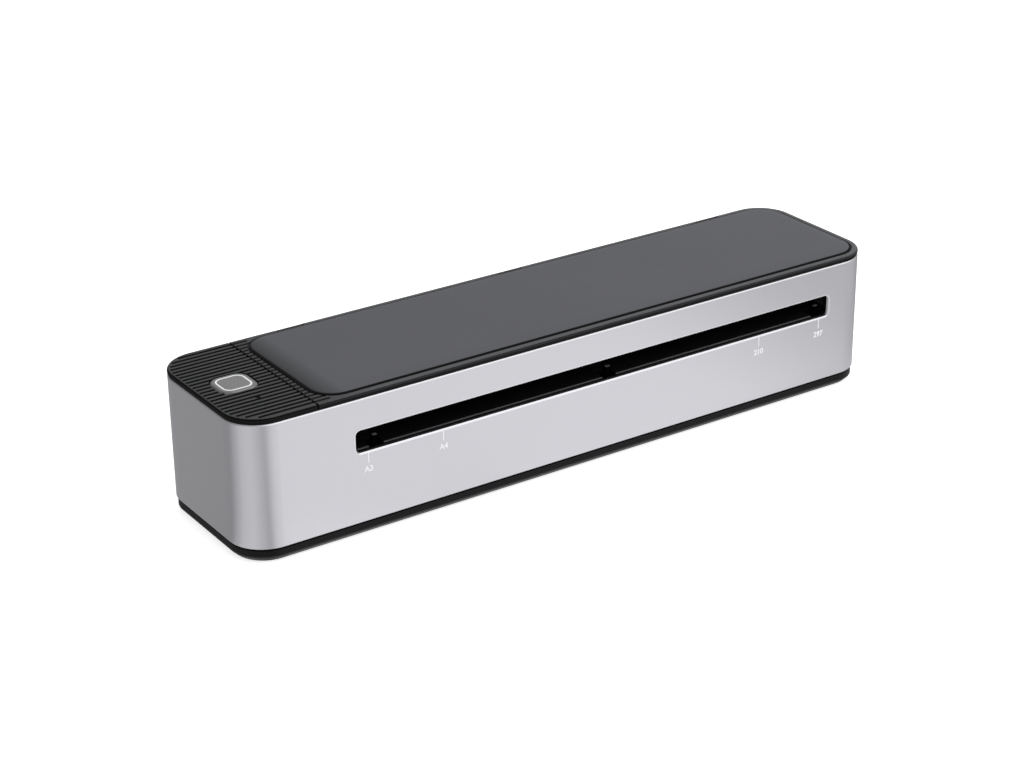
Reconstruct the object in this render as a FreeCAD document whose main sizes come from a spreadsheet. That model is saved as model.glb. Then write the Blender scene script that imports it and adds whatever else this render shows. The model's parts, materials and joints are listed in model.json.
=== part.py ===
import FreeCAD, Part
import math
import os
import Sketcher

# Desktop thermal printer with a wide slot front and rear and a hinged top lid.
# Millimetres. X runs along the length, the front face looks along -Y, Z is up.
# The origin is the centre of the footprint at table height.

SIZES = {
    # outer housing
    "body_depth": 95.4,
    "corner_radius": 20.2,
    "foot_height": 0.4,
    "base_top": 6.9,
    "base_inset": 0.8,
    "base_bevel": 2.4,
    "base_floor": 2.4,
    "seat_gap": 1.0,
    "seat_inset": 1.5,
    "spigot_height": 7.1,
    "spigot_wall": 2.0,
    "fit_gap": 0.15,
    "sleeve_height": 68.9,
    "sleeve_wall": 2.0,
    "sleeve_edge": 0.5,
    "overrun": 5.0,
    # paper slots
    "slot_start": 63.7,
    "slot_width": 311.2,
    "slot_end": 31.5,
    "slot_height": 12.4,
    "slot_floor": 47.05,
    "slot_radius": 2.8,
    "slot_chamfer": 0.6,
    "bezel_border": 6.0,
    "bezel_lip": 0.3,
    "bezel_thickness": 1.5,
    # top frame
    "neck_height": 0.5,
    "neck_inset": 0.9,
    "skirt_height": 13.8,
    "skirt_wall": 2.2,
    "deck_thickness": 2.0,
    "bay_margin": 1.5,
    "bay_rim": 7.7,
    "bay_radius": 5.0,
    "post_radius": 4.5,
    "post_bore": 1.25,
    "post_inset_x": 17.2,
    "post_gap": 1.2,
    "boss_height": 9.0,
    "button_well": 24.0,
    # lid and control panel
    "lid_gap": 0.1,
    "cap_height": 2.8,
    "cap_round": 1.35,
    "cap_rim": 3.4,
    "cap_hollow": 1.0,
    "line_depth": 0.8,
    "line_width": 0.45,
    "line_drop": 0.35,
    "seam_place": 43.2,
    "seam_gap": 0.8,
    "rib_pitch": 3.78,
    "rib_groove": 2.0,
    "rib_depth": 0.8,
    "rib_margin": 1.35,
    "pad_inset": 4.0,
    "pad_start": 47.2,
    "pad_corner": 15.0,
    "pad_gap": 0.6,
    "pad_recess": 0.8,
    "pad_height": 2.1,
    "pad_crown": 1.6,
    "knuckle_width": 16.0,
    "knuckle_gap": 0.3,
    "knuckle_reach": 1.7,
    "knuckle_margin": 15.6,
    "pin_radius": 0.5,
    "pin_length": 28.0,
    "pin_gap": 0.05,
    "nail_width": 16.0,
    "nail_margin": 21.2,
    "magnet_radius": 4.0,
    "magnet_thickness": 0.9,
    "magnet_inset": 19.7,
    # power button
    "button_place": 21.4,
    "button_outer": 21.6,
    "button_corner": 7.0,
    "button_gap": 0.45,
    "button_bevel": 0.9,
    "ring_outer": 16.4,
    "ring_width": 0.9,
    "ring_corner": 4.7,
    "ring_height": 3.4,
    "ring_proud": 0.1,
    "key_gap": 0.15,
    "key_proud": 0.15,
    "key_travel": 0.8,
    "key_stem": 4.0,
    "switch_height": 3.4,
    "hole_radius": 0.9,
    "hole_offset": 22.4,
    "hole_shift": 1.7,
    "board_thickness": 1.6,
    "panel_board_length": 30.0,
    "panel_board_gap": 1.5,
    "panel_board_post": 3.0,
    # paper path
    "platen_radius": 8.0,
    "platen_margin": 3.6,
    "paper_drop": 0.85,
    "shaft_radius": 4.0,
    "journal_radius": 3.0,
    "frame_gap": 3.9,
    "frame_plate": 1.6,
    "frame_rim": 9.7,
    "frame_height": 62.6,
    "frame_foot": 8.0,
    "bush_radius": 6.0,
    "bush_flange": 7.0,
    "bush_flange_width": 1.0,
    "guide_thickness": 1.6,
    "guide_gap": 0.2,
    "mouth_step": 0.85,
    "lower_throat_drop": 0.4,
    "lower_throat_y": 7.4,
    "lower_lip": 4.0,
    "upper_throat_rise": 1.4,
    "upper_throat_y": 13.0,
    "upper_lip": 3.0,
    # paper sensors
    "lever_margin": 9.6,
    "lever_offset": 4.1,
    "notch_width": 9.0,
    "notch_depth": 13.5,
    "pivot_inset": 3.5,
    "pivot_drop": 4.4,
    "pivot_radius": 1.0,
    "ear_thickness": 1.4,
    "ear_spacing": 10.2,
    "lever_width": 2.4,
    "lever_hub": 2.2,
    "lever_tip": 9.3,
    "lever_flag": 7.6,
    "lever_arm": 1.8,
    "lever_root": 1.75,
    "lever_lean": 1.45,
    "fork_gap": 1.2,
    "fork_wall": 2.0,
    "fork_depth": 6.0,
    "fork_height": 7.0,
    "fork_board_half": 8.4,
    # gear train
    "gear_module": 0.8,
    "gear_backlash": 0.22,
    "gear_width": 5.0,
    "wheel_width": 5.2,
    "gear_spacing": 0.6,
    "compound_drop": 16.0,
    "compound_offset": 12.0,
    "stud_radius": 2.0,
    "motor_radius": 17.5,
    "motor_length": 26.0,
    "motor_boss": 5.0,
    "motor_shaft_radius": 1.5,
    "bracket_margin": 0.1,
    "bracket_gap": 3.0,
    "clip_radius": 4.6,
    "clip_thickness": 0.6,
    # print head
    "head_gap": 0.3,
    "head_margin": 2.6,
    "head_depth": 18.0,
    "head_height": 8.0,
    "substrate_thickness": 1.0,
    "substrate_depth": 12.0,
    "bracket_sheet": 1.6,
    "bracket_half": 11.0,
    "bracket_flange": 6.0,
    "spring_space": 4.4,
    "spring_radius": 3.4,
    "spring_wire": 0.25,
    "head_pin_radius": 2.0,
    "head_pin_cap": 3.4,
    "head_pin_margin": 33.0,
    # boards, battery and fasteners
    "main_clear": 40.9,
    "main_depth": 58.0,
    "main_margin": 53.2,
    "main_gap": 0.35,
    "standoff_height": 14.0,
    "standoff_radius": 3.0,
    "socket_width": 9.0,
    "socket_height": 3.3,
    "socket_depth": 7.4,
    "socket_wall": 0.33,
    "socket_tongue": 1.5,
    "socket_end": 83.2,
    "socket_margin": 0.6,
    "cell_radius": 9.15,
    "cell_length": 65.0,
    "cell_spacing": 19.2,
    "holder_wall": 1.6,
    "holder_height": 9.0,
    "holder_gap": 7.4,
    "pad_foot_radius": 7.0,
    "pad_foot_thickness": 1.6,
    "foot_inset_x": 31.2,
    "foot_inset_y": 21.7,
    "screw_radius": 1.2,
    "screw_clearance": 0.3,
    "screw_head": 2.7,
    "screw_head_height": 1.8,
    "screw_length": 22.0,
}
# Sizes that follow from the ones above, as formulas on a sheet of their own
FITTED = {
    "body_length": "dim.slot_start + dim.slot_width + dim.slot_end",
    "slot_centre": "(dim.slot_start - dim.slot_end) / 2",
    "post_reach_x": "fit.body_length / 2 - dim.post_inset_x",
    "pinion_y": "(dim.wheel_teeth + dim.pinion_teeth) * dim.gear_module / 2 - dim.compound_offset",
    "post_reach_y": "fit.pinion_y + dim.motor_radius + dim.post_radius + dim.post_gap",
    "foot_reach_x": "fit.body_length / 2 - dim.foot_inset_x",
    "foot_reach_y": "dim.body_depth / 2 - dim.foot_inset_y",
    "panel_board_depth": "2 * (fit.post_reach_y - dim.post_radius - dim.panel_board_gap)",
    "bay_length": "dim.slot_width + 2 * dim.bay_margin",
    "bay_depth": "dim.body_depth - 2 * dim.bay_rim",
    "knuckle_spread": "dim.slot_width / 2 - dim.knuckle_margin",
    "nail_place": "fit.body_length / 2 - dim.nail_margin",
    "magnet_reach": "dim.body_depth / 2 - dim.magnet_inset",
    "frame_spacing": "dim.slot_width + 2 * dim.frame_gap",
    "frame_depth": "dim.body_depth - 2 * dim.frame_rim",
    "platen_length": "dim.slot_width - 2 * dim.platen_margin",
    "platen_z": "dim.slot_floor + dim.slot_height / 2 - dim.paper_drop - dim.platen_radius",
    "guide_front": "dim.body_depth / 2 - dim.sleeve_wall - dim.bezel_thickness - dim.guide_gap",
    "lower_mouth_z": "dim.slot_floor + dim.mouth_step",
    "lower_throat_z": "fit.platen_z + dim.platen_radius - dim.lower_throat_drop",
    "upper_mouth_z": "dim.slot_floor + dim.slot_height - dim.mouth_step",
    "upper_throat_z": "fit.platen_z + dim.platen_radius + dim.upper_throat_rise",
    "lever_spacing": "dim.slot_width / 2 - dim.lever_margin",
    "pivot_y": "fit.guide_front - dim.pivot_inset",
    "pivot_z": "fit.lower_mouth_z - dim.pivot_drop",
    "bracket_height": "fit.platen_z - dim.compound_drop + dim.motor_radius + dim.bracket_margin",
    "head_length": "dim.slot_width - 2 * dim.head_margin",
    "head_pin_spacing": "fit.head_length / 2 - dim.head_pin_margin",
    "main_rear": "dim.body_depth / 2 - dim.sleeve_wall - dim.fit_gap - dim.spigot_wall - dim.main_gap",
    "socket_place": "fit.body_length / 2 - dim.socket_end",
    "holder_end": "fit.slot_centre - fit.frame_spacing / 2 + dim.holder_gap",
    "holder_length": "2 * dim.cell_length + 2 * dim.fit_gap + 3 * dim.holder_wall",
    "main_start": "fit.holder_end + fit.holder_length + dim.main_clear",
    "main_length": "fit.body_length / 2 - dim.main_margin - fit.main_start",
}
COUNTS = {
    "rib_grooves": 24,
    "platen_teeth": 36,
    "wheel_teeth": 40,
    "small_teeth": 14,
    "pinion_teeth": 12,
    "spring_turns": 3,
    "spring_sides": 6,
}
PRESSURE_ANGLE = 20
TIP_SHARE = 0.9
ROOT_SHARE = 1.25
FLANK_STEPS = 4
GROOVES_PER_SKETCH = 6

doc = FreeCAD.newDocument("thermal_printer")
dim = doc.addObject("Spreadsheet::Sheet", "dim")
for row, (alias, value) in enumerate({**SIZES, **COUNTS}.items(), start=1):
    dim.set(f"A{row}", alias)
    dim.set(f"B{row}", str(value))
    dim.setAlias(f"B{row}", alias)
fit = doc.addObject("Spreadsheet::Sheet", "fit")
for row, (alias, formula) in enumerate(FITTED.items(), start=1):
    fit.set(f"A{row}", alias)
    fit.setAlias(f"B{row}", alias)
    fit.set(f"B{row}", "=" + formula.replace("fit.", ""))
probe = doc.addObject("Spreadsheet::Sheet", "probe")
doc.recompute()

parts = []
ALONG_X = FreeCAD.Rotation(FreeCAD.Vector(1, 1, 1), 120)
ALONG_Y = FreeCAD.Rotation(FreeCAD.Vector(1, 0, 0), -90)

# Levels and places that several pieces share, as expressions of the sheet's sizes
SLEEVE_LOW = "(dim.base_top + dim.seat_gap)"
SLEEVE_TOP = f"({SLEEVE_LOW} + dim.sleeve_height)"
FLOOR = "(dim.foot_height + dim.base_floor)"
DECK_TOP = f"({SLEEVE_TOP} + dim.neck_height)"
DECK_LOW = f"({DECK_TOP} - dim.deck_thickness)"
SKIRT_LOW = f"({SLEEVE_TOP} - dim.skirt_height)"
CAP_LOW = f"({DECK_TOP} + dim.lid_gap)"
CAP_TOP = f"({CAP_LOW} + dim.cap_height)"
CAP_UNDER = f"({CAP_LOW} + dim.cap_hollow)"
HINGE_Y = "(dim.body_depth / 2 - dim.cap_height / 2)"
HINGE_Z = f"({CAP_LOW} + dim.cap_height / 2)"
INNER = "(dim.sleeve_wall + dim.fit_gap)"
BOARD_LOW = f"({FLOOR} + dim.standoff_height)"
BOARD_TOP = f"({BOARD_LOW} + dim.board_thickness)"
SEAM_X = "(dim.seam_place - fit.body_length / 2)"
BUTTON_X = "(dim.button_place - fit.body_length / 2)"
SLOT_Z = "(dim.slot_floor + dim.slot_height / 2)"
LEFT_FACE = "(fit.slot_centre - fit.frame_spacing / 2)"
RIGHT_FACE = "(fit.slot_centre + fit.frame_spacing / 2)"
GEAR_FACE = f"({LEFT_FACE} - dim.frame_plate - dim.gear_spacing)"
PINION_Z = "(fit.platen_z - dim.compound_drop)"
WHEEL_HIGH = f"({GEAR_FACE} - dim.gear_width - dim.clip_thickness - dim.gear_spacing)"
WHEEL_LOW = f"({WHEEL_HIGH} - dim.wheel_width)"
PLATE_X = f"({WHEEL_LOW} - dim.bracket_gap)"
PLATEN_TOP = "(fit.platen_z + dim.platen_radius)"
HEAD_LOW = f"({PLATEN_TOP} + dim.head_gap)"
BAR_LOW = f"({HEAD_LOW} + dim.substrate_thickness)"
BAR_TOP = f"({BAR_LOW} + dim.head_height)"
WEB_LOW = f"({BAR_TOP} + dim.spring_space)"
LEVER_X = [f"(fit.slot_centre + dim.lever_offset + {k} * fit.lever_spacing)" for k in (-1, 0, 1)]
PIN_X = [f"(fit.slot_centre + {k} * fit.head_pin_spacing)" for k in (-1, 0, 1)]
KNUCKLE_X = [f"(fit.slot_centre + {k} * fit.knuckle_spread)" for k in (-1, 0, 1)]
POSTS = [(f"{i} * fit.post_reach_x", f"{j} * fit.post_reach_y") for i in (-1, 1) for j in (-1, 1)]
FEET = [(f"{i} * fit.foot_reach_x", f"{j} * fit.foot_reach_y") for i in (-1, 1) for j in (-1, 1)]


def number(expression):
    """Value in millimetres of an expression of the sheet's sizes."""
    probe.set("A1", "=" + expression)
    probe.recompute()
    return float(probe.get("A1"))


def node(item, label):
    """Names a finished sub-part and notes it for the check and the export."""
    item.Label = label
    parts.append(item)
    return item


def place(item, x="0", y="0", z="0", turn=None):
    if turn:
        item.Placement.Rotation = turn
    for axis, expression in zip("xyz", (x, y, z)):
        item.setExpression(f"Placement.Base.{axis}", expression)
    return item


def block(x, y, z):
    """Box between two planes on each axis."""
    item = doc.addObject("Part::Box", "block")
    for side, (low, high) in zip(("Length", "Width", "Height"), (x, y, z)):
        item.setExpression(side, f"({high}) - ({low})")
    return place(item, x[0], y[0], z[0])


def rod(radius, start, end, across, along="z"):
    """Cylinder from start to end along an axis; across holds its other two coordinates."""
    item = doc.addObject("Part::Cylinder", "rod")
    item.setExpression("Radius", radius)
    item.setExpression("Height", f"({end}) - ({start})")
    first, second = across
    if along == "x":
        return place(item, start, first, second, ALONG_X)
    if along == "y":
        return place(item, first, start, second, ALONG_Y)
    return place(item, first, second, start)


def fuse(*pieces):
    item = doc.addObject("Part::MultiFuse", "fused")
    item.Shapes = list(pieces)
    return item


def cut(base, *tools):
    item = doc.addObject("Part::Cut", "cut")
    item.Base = base
    item.Tool = tools[0] if len(tools) == 1 else fuse(*tools)
    return item


def group(*pieces):
    """Separate solids that share one name."""
    item = doc.addObject("Part::Compound", "group")
    item.Links = list(pieces)
    return item


def body_for(label):
    return node(doc.addObject("PartDesign::Body", label), label)


def sketch_on(body, role, offset="0"):
    """Empty sketch on one of the body's own origin planes, moved along its normal."""
    sketch = body.newObject("Sketcher::SketchObject", "sketch")
    plane = [item for item in body.Origin.OriginFeatures if item.Role == role][0]
    sketch.AttachmentSupport = (plane, [""])
    sketch.MapMode = "FlatFace"
    sketch.setExpression("AttachmentOffset.Base.z", offset)
    return sketch


def constrain(sketch, expression, kind, *where):
    index = sketch.addConstraint(Sketcher.Constraint(kind, *where, number(expression)))
    sketch.setExpression(f"Constraints[{index}]", expression)


def draw_polygon(sketch, points):
    """Closed outline through the points, each tied to the sheet."""
    first = sketch.GeometryCount
    corners = [FreeCAD.Vector(number(x), number(y), 0) for x, y in points]
    for start, end in zip(corners, corners[1:] + corners[:1]):
        sketch.addGeometry(Part.LineSegment(start, end), False)
    for i, (x, y) in enumerate(points):
        following = first + (i + 1) % len(points)
        sketch.addConstraint(Sketcher.Constraint("Coincident", first + i, 2, following, 1))
        constrain(sketch, x, "DistanceX", -1, 1, first + i, 1)
        constrain(sketch, y, "DistanceY", -1, 1, first + i, 1)
    return sketch


def draw_circles(sketch, centres, radius):
    for x, y in centres:
        middle = FreeCAD.Vector(number(x), number(y), 0)
        circle = Part.Circle(middle, FreeCAD.Vector(0, 0, 1), number(radius))
        index = sketch.addGeometry(circle, False)
        constrain(sketch, radius, "Radius", index)
        constrain(sketch, x, "DistanceX", -1, 1, index, 3)
        constrain(sketch, y, "DistanceY", -1, 1, index, 3)
    return sketch


def draw_round_box(sketch, width, height, radius, x="0", y="0"):
    """Rectangle with four equal round corners about the centre x, y."""
    n = sketch.GeometryCount
    half_w, half_h, r = number(width) / 2, number(height) / 2, number(radius)
    cx, cy = number(x), number(y)
    left, right, low, high = cx - half_w, cx + half_w, cy - half_h, cy + half_h
    up = FreeCAD.Vector(0, 0, 1)
    runs = (
        ((left + r, low), (right - r, low)),
        ((right, low + r), (right, high - r)),
        ((right - r, high), (left + r, high)),
        ((left, high - r), (left, low + r)),
    )
    for start, end in runs:
        sketch.addGeometry(Part.LineSegment(FreeCAD.Vector(*start, 0), FreeCAD.Vector(*end, 0)), False)
    bends = ((right - r, low + r), (right - r, high - r), (left + r, high - r), (left + r, low + r))
    for i, middle in enumerate(bends):
        circle = Part.Circle(FreeCAD.Vector(*middle, 0), up, r)
        begin = math.radians(90 * (i - 1))
        sketch.addGeometry(Part.ArcOfCircle(circle, begin, begin + math.pi / 2), False)
    for i in range(4):
        arc = n + 4 + i
        sketch.addConstraint(Sketcher.Constraint("Tangent", n + i, 2, arc, 1))
        sketch.addConstraint(Sketcher.Constraint("Tangent", arc, 2, n + (i + 1) % 4, 1))
        sketch.addConstraint(Sketcher.Constraint("Vertical" if i % 2 else "Horizontal", n + i))
        if i:
            sketch.addConstraint(Sketcher.Constraint("Equal", n + 4, arc))
    constrain(sketch, radius, "Radius", n + 4)
    constrain(sketch, f"({x}) - ({width}) / 2", "DistanceX", -1, 1, n + 3, 1)
    constrain(sketch, f"({x}) + ({width}) / 2", "DistanceX", -1, 1, n + 1, 1)
    constrain(sketch, f"({y}) - ({height}) / 2", "DistanceY", -1, 1, n, 1)
    constrain(sketch, f"({y}) + ({height}) / 2", "DistanceY", -1, 1, n + 2, 1)
    return sketch


def footprint(sketch, inset):
    """The housing's outline seen from above, drawn in by an inset."""
    return draw_round_box(
        sketch,
        f"fit.body_length - 2 * {inset}",
        f"dim.body_depth - 2 * {inset}",
        f"dim.corner_radius - {inset}",
    )


def pad(body, sketch, length, backwards=False):
    feature = body.newObject("PartDesign::Pad", "pad")
    feature.Profile = sketch
    feature.setExpression("Length", length)
    feature.Reversed = backwards
    body.Tip = feature
    return feature


def pocket(body, sketch, length, backwards=False):
    feature = body.newObject("PartDesign::Pocket", "pocket")
    feature.Profile = sketch
    feature.setExpression("Length", length)
    feature.Reversed = backwards
    body.Tip = feature
    return feature


def edges_where(feature, test):
    """Names of a feature's edges whose every vertex passes the test."""
    doc.recompute()
    names = []
    for i, edge in enumerate(feature.Shape.Edges, start=1):
        if all(test(vertex.Point) for vertex in edge.Vertexes):
            names.append(f"Edge{i}")
    return names


def chamfer(body, feature, size, test):
    item = body.newObject("PartDesign::Chamfer", "chamfer")
    item.Base = (feature, edges_where(feature, test))
    item.setExpression("Size", size)
    body.Tip = item
    return item


def fillet(body, feature, size, test):
    item = body.newObject("PartDesign::Fillet", "fillet")
    item.Base = (feature, edges_where(feature, test))
    item.setExpression("Radius", size)
    body.Tip = item
    return item


def near(value, expression):
    return abs(value - number(expression)) < number("dim.fit_gap")


# Housing

def make_sleeve():
    """Silver sleeve: one wrapped wall with cut edges, a paper slot front and rear and a socket hole."""
    body = body_for("outer_sleeve")
    wall = pad(body, footprint(sketch_on(body, "XY_Plane", SLEEVE_LOW), "0"), "dim.sleeve_height")
    low_cut = chamfer(body, wall, "dim.sleeve_edge", lambda point: near(point.z, SLEEVE_LOW))
    chamfer(body, low_cut, "dim.sleeve_edge", lambda point: near(point.z, SLEEVE_TOP))
    inside = footprint(sketch_on(body, "XY_Plane", f"{SLEEVE_TOP} + dim.overrun"), "dim.sleeve_wall")
    pocket(body, inside, "dim.sleeve_height + 2 * dim.overrun")
    for face, backwards in (("dim.body_depth / 2", False), ("0 - dim.body_depth / 2", True)):
        slot = sketch_on(body, "XZ_Plane", face)
        size = ("dim.slot_width", "dim.slot_height", "dim.slot_radius")
        draw_round_box(slot, *size, "fit.slot_centre", SLOT_Z)
        pocket(body, slot, "dim.sleeve_wall + dim.overrun", backwards)
    socket = sketch_on(body, "XZ_Plane", "0 - dim.body_depth / 2")
    draw_round_box(
        socket,
        "dim.socket_width + 2 * dim.socket_margin",
        "dim.socket_height + 2 * dim.socket_margin",
        "dim.socket_height / 2",
        "fit.socket_place",
        f"{BOARD_TOP} + dim.socket_height / 2",
    )
    cut_through = pocket(body, socket, "dim.sleeve_wall + dim.overrun", True)
    low, high = number("dim.slot_floor"), number("dim.slot_floor + dim.slot_height")
    margin = number("dim.fit_gap")

    def on_slot(point):
        return near(abs(point.y), "dim.body_depth / 2") and low - margin < point.z < high + margin

    chamfer(body, cut_through, "dim.slot_chamfer", on_slot)


def make_base_tray():
    """Black tray: bevelled underside, seat for the sleeve, spigot, screw bosses and board posts."""
    body = body_for("base_tray")
    feature = pad(
        body,
        footprint(sketch_on(body, "XY_Plane", "dim.foot_height"), "dim.base_inset"),
        "dim.base_top - dim.foot_height",
    )
    chamfer(body, feature, "dim.base_bevel", lambda point: near(point.z, "dim.foot_height"))
    pad(body, footprint(sketch_on(body, "XY_Plane", "dim.base_top"), "dim.seat_inset"), "dim.seat_gap")
    pad(body, footprint(sketch_on(body, "XY_Plane", SLEEVE_LOW), INNER), "dim.spigot_height")
    hollow = footprint(
        sketch_on(body, "XY_Plane", f"{SLEEVE_LOW} + dim.spigot_height"),
        f"({INNER} + dim.spigot_wall)",
    )
    pocket(body, hollow, f"{SLEEVE_LOW} + dim.spigot_height - {FLOOR}")
    bosses = draw_circles(sketch_on(body, "XY_Plane", FLOOR), POSTS, "dim.post_radius")
    pad(body, bosses, "dim.boss_height")
    standoffs = draw_circles(sketch_on(body, "XY_Plane", FLOOR), standoff_places(), "dim.standoff_radius")
    pad(body, standoffs, "dim.standoff_height")
    shanks = draw_circles(
        sketch_on(body, "XY_Plane", f"{FLOOR} + dim.boss_height + dim.overrun"),
        POSTS,
        "dim.screw_radius + dim.screw_clearance",
    )
    pocket(body, shanks, f"{FLOOR} + dim.boss_height + 2 * dim.overrun")
    heads = draw_circles(
        sketch_on(body, "XY_Plane", "dim.foot_height"),
        POSTS,
        "dim.screw_head + dim.screw_clearance",
    )
    pocket(body, heads, "dim.screw_head_height + dim.screw_clearance", True)
    feet = draw_circles(
        sketch_on(body, "XY_Plane", "dim.foot_height"),
        FEET,
        "dim.pad_foot_radius + dim.fit_gap",
    )
    pocket(body, feet, "dim.pad_foot_thickness - dim.foot_height", True)


def make_feet_and_screws():
    feet = [rod("dim.pad_foot_radius", "0", "dim.pad_foot_thickness", spot) for spot in FEET]
    node(group(*feet), "rubber_feet")
    head_low = "dim.foot_height + dim.screw_clearance"
    head_top = f"{head_low} + dim.screw_head_height"
    screws = []
    for spot in POSTS:
        head = rod("dim.screw_head", head_low, head_top, spot)
        shank = rod("dim.screw_radius", head_low, f"{head_low} + dim.screw_length", spot)
        recess = rod("dim.screw_radius", head_low, f"{head_low} + dim.screw_head_height / 2", spot)
        screws.append(cut(fuse(head, shank), recess))
    node(group(*screws), "base_screws")


def make_top_frame():
    """Deck inside the sleeve's top edge: skirt, open bay, posts to the base and hinge knuckles."""
    body = body_for("top_frame")
    pad(body, footprint(sketch_on(body, "XY_Plane", SKIRT_LOW), INNER), "dim.skirt_height")
    pad(body, footprint(sketch_on(body, "XY_Plane", SLEEVE_TOP), "dim.neck_inset"), "dim.neck_height")
    hollow = footprint(sketch_on(body, "XY_Plane", SKIRT_LOW), f"({INNER} + dim.skirt_wall)")
    pocket(body, hollow, f"{DECK_LOW} - {SKIRT_LOW}", True)
    bay = sketch_on(body, "XY_Plane", f"{DECK_TOP} + dim.overrun")
    draw_round_box(bay, "fit.bay_length", "fit.bay_depth", "dim.bay_radius", "fit.slot_centre", "0")
    pocket(body, bay, "dim.skirt_height + dim.overrun")
    well = sketch_on(body, "XY_Plane", f"{DECK_TOP} + dim.overrun")
    draw_round_box(well, "dim.button_well", "dim.button_well", "dim.bay_radius", BUTTON_X, "0")
    pocket(body, well, "dim.skirt_height + dim.overrun")
    post_low = f"({FLOOR} + dim.boss_height)"
    posts = draw_circles(sketch_on(body, "XY_Plane", post_low), POSTS, "dim.post_radius")
    pad(body, posts, f"{DECK_LOW} - {post_low}")
    bores = draw_circles(sketch_on(body, "XY_Plane", post_low), POSTS, "dim.post_bore")
    pocket(body, bores, "dim.screw_length - dim.boss_height", True)
    seats = sketch_on(body, "XY_Plane", DECK_TOP)
    draw_circles(seats, magnet_places(), "dim.magnet_radius + dim.fit_gap")
    pocket(body, seats, "dim.magnet_thickness")
    nail = sketch_on(body, "XY_Plane", f"{DECK_TOP} + dim.overrun")
    nail_edges = ("fit.nail_place", "fit.nail_place + dim.nail_width")
    front = "0 - dim.body_depth / 2"
    corners = [
        (nail_edges[0], front),
        (nail_edges[1], front),
        (nail_edges[1], f"{front} + dim.corner_radius"),
        (nail_edges[0], f"{front} + {INNER} + dim.skirt_wall"),
    ]
    draw_polygon(nail, corners)
    pocket(body, nail, "dim.neck_height + dim.overrun")
    for centre in KNUCKLE_X:
        side = sketch_on(body, "YZ_Plane", f"{centre} - dim.knuckle_width / 2")
        draw_circles(side, [(HINGE_Y, HINGE_Z)], "dim.cap_round")
        pad(body, side, "dim.knuckle_width")
        web = sketch_on(body, "YZ_Plane", f"{centre} - dim.knuckle_width / 2")
        corners = [
            (f"{HINGE_Y} - dim.cap_round / 2", f"{DECK_TOP} - dim.neck_height / 2"),
            (f"{HINGE_Y} + dim.cap_round / 2", f"{DECK_TOP} - dim.neck_height / 2"),
            (f"{HINGE_Y} + dim.cap_round / 2", HINGE_Z),
            (f"{HINGE_Y} - dim.cap_round / 2", HINGE_Z),
        ]
        draw_polygon(web, corners)
        pad(body, web, "dim.knuckle_width")
        bore = sketch_on(body, "YZ_Plane", f"{centre} - dim.knuckle_width")
        draw_circles(bore, [(HINGE_Y, HINGE_Z)], "dim.pin_radius + dim.pin_gap")
        pocket(body, bore, "2 * dim.knuckle_width", True)


# Lid and control panel

def cap_blank(body):
    """Rounded top plate with a shadow line; the lid and the control panel are both trimmed from it."""
    plate = pad(body, footprint(sketch_on(body, "XY_Plane", CAP_LOW), "0"), "dim.cap_height")
    rim = "min(dim.cap_round; dim.cap_height / 2 - dim.pin_gap)"
    fillet(body, plate, rim, lambda point: near(point.z, CAP_LOW) or near(point.z, CAP_TOP))
    line = sketch_on(body, "XY_Plane", f"{CAP_TOP} - dim.line_drop")
    footprint(line, "(0 - dim.overrun)")
    footprint(line, "dim.line_depth")
    pocket(body, line, "dim.line_width")


def trim(body, low, high):
    """Cuts away what lies between two planes across the length."""
    sketch = sketch_on(body, "XY_Plane", f"{CAP_TOP} + dim.overrun")
    deep = "(dim.body_depth / 2 + dim.overrun)"
    corners = [(low, f"0 - {deep}"), (high, f"0 - {deep}"), (high, deep), (low, deep)]
    pocket(body, draw_polygon(sketch, corners), "dim.cap_height + 2 * dim.overrun")


def rib_grooves(body, low_x, high_x):
    """Parallel grooves along the length, shorter where the housing's corners turn in."""
    count = COUNTS["rib_grooves"]
    for first in range(0, count, GROOVES_PER_SKETCH):
        sketch = sketch_on(body, "XY_Plane", CAP_TOP)
        for i in range(first, min(first + GROOVES_PER_SKETCH, count)):
            middle = f"({i - (count - 1) / 2} * dim.rib_pitch)"
            start = low_x(middle)
            low, high = f"{middle} - dim.rib_groove / 2", f"{middle} + dim.rib_groove / 2"
            draw_polygon(sketch, [(start, low), (high_x, low), (high_x, high), (start, high)])
        pocket(body, sketch, "dim.rib_depth")


def rim_start(middle):
    """Left end of a groove, a constant margin inside the outline."""
    radius = "(dim.corner_radius - dim.rib_margin)"
    flat = number("dim.body_depth / 2 - dim.corner_radius")
    edge = "(dim.rib_margin - fit.body_length / 2)"
    if abs(number(middle)) <= flat:
        return edge
    rise = f"(abs({middle}) + dim.rib_groove / 2 - (dim.body_depth / 2 - dim.corner_radius))"
    return f"({edge} + {radius} - sqrt(max({radius} ^ 2 - {rise} ^ 2; 0)))"


def make_control_panel():
    """Ribbed plate at the left with the button's opening and a pinhole."""
    body = body_for("control_panel")
    cap_blank(body)
    trim(body, f"{SEAM_X} - dim.seam_gap / 2", "fit.body_length / 2 + dim.overrun")
    rib_grooves(body, rim_start, f"({SEAM_X} + dim.overrun)")
    plate = sketch_on(body, "XY_Plane", CAP_TOP)
    border = "(dim.button_outer + 2 * dim.button_gap)"
    draw_round_box(plate, border, border, "dim.button_corner + dim.button_gap", BUTTON_X, "0")
    pocket(body, plate, "dim.cap_height + dim.overrun")
    pinhole = sketch_on(body, "XY_Plane", CAP_TOP)
    draw_circles(pinhole, [(f"{BUTTON_X} + dim.hole_shift", "0 - dim.hole_offset")], "dim.hole_radius")
    pocket(body, pinhole, "dim.cap_height + dim.overrun")


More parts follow.
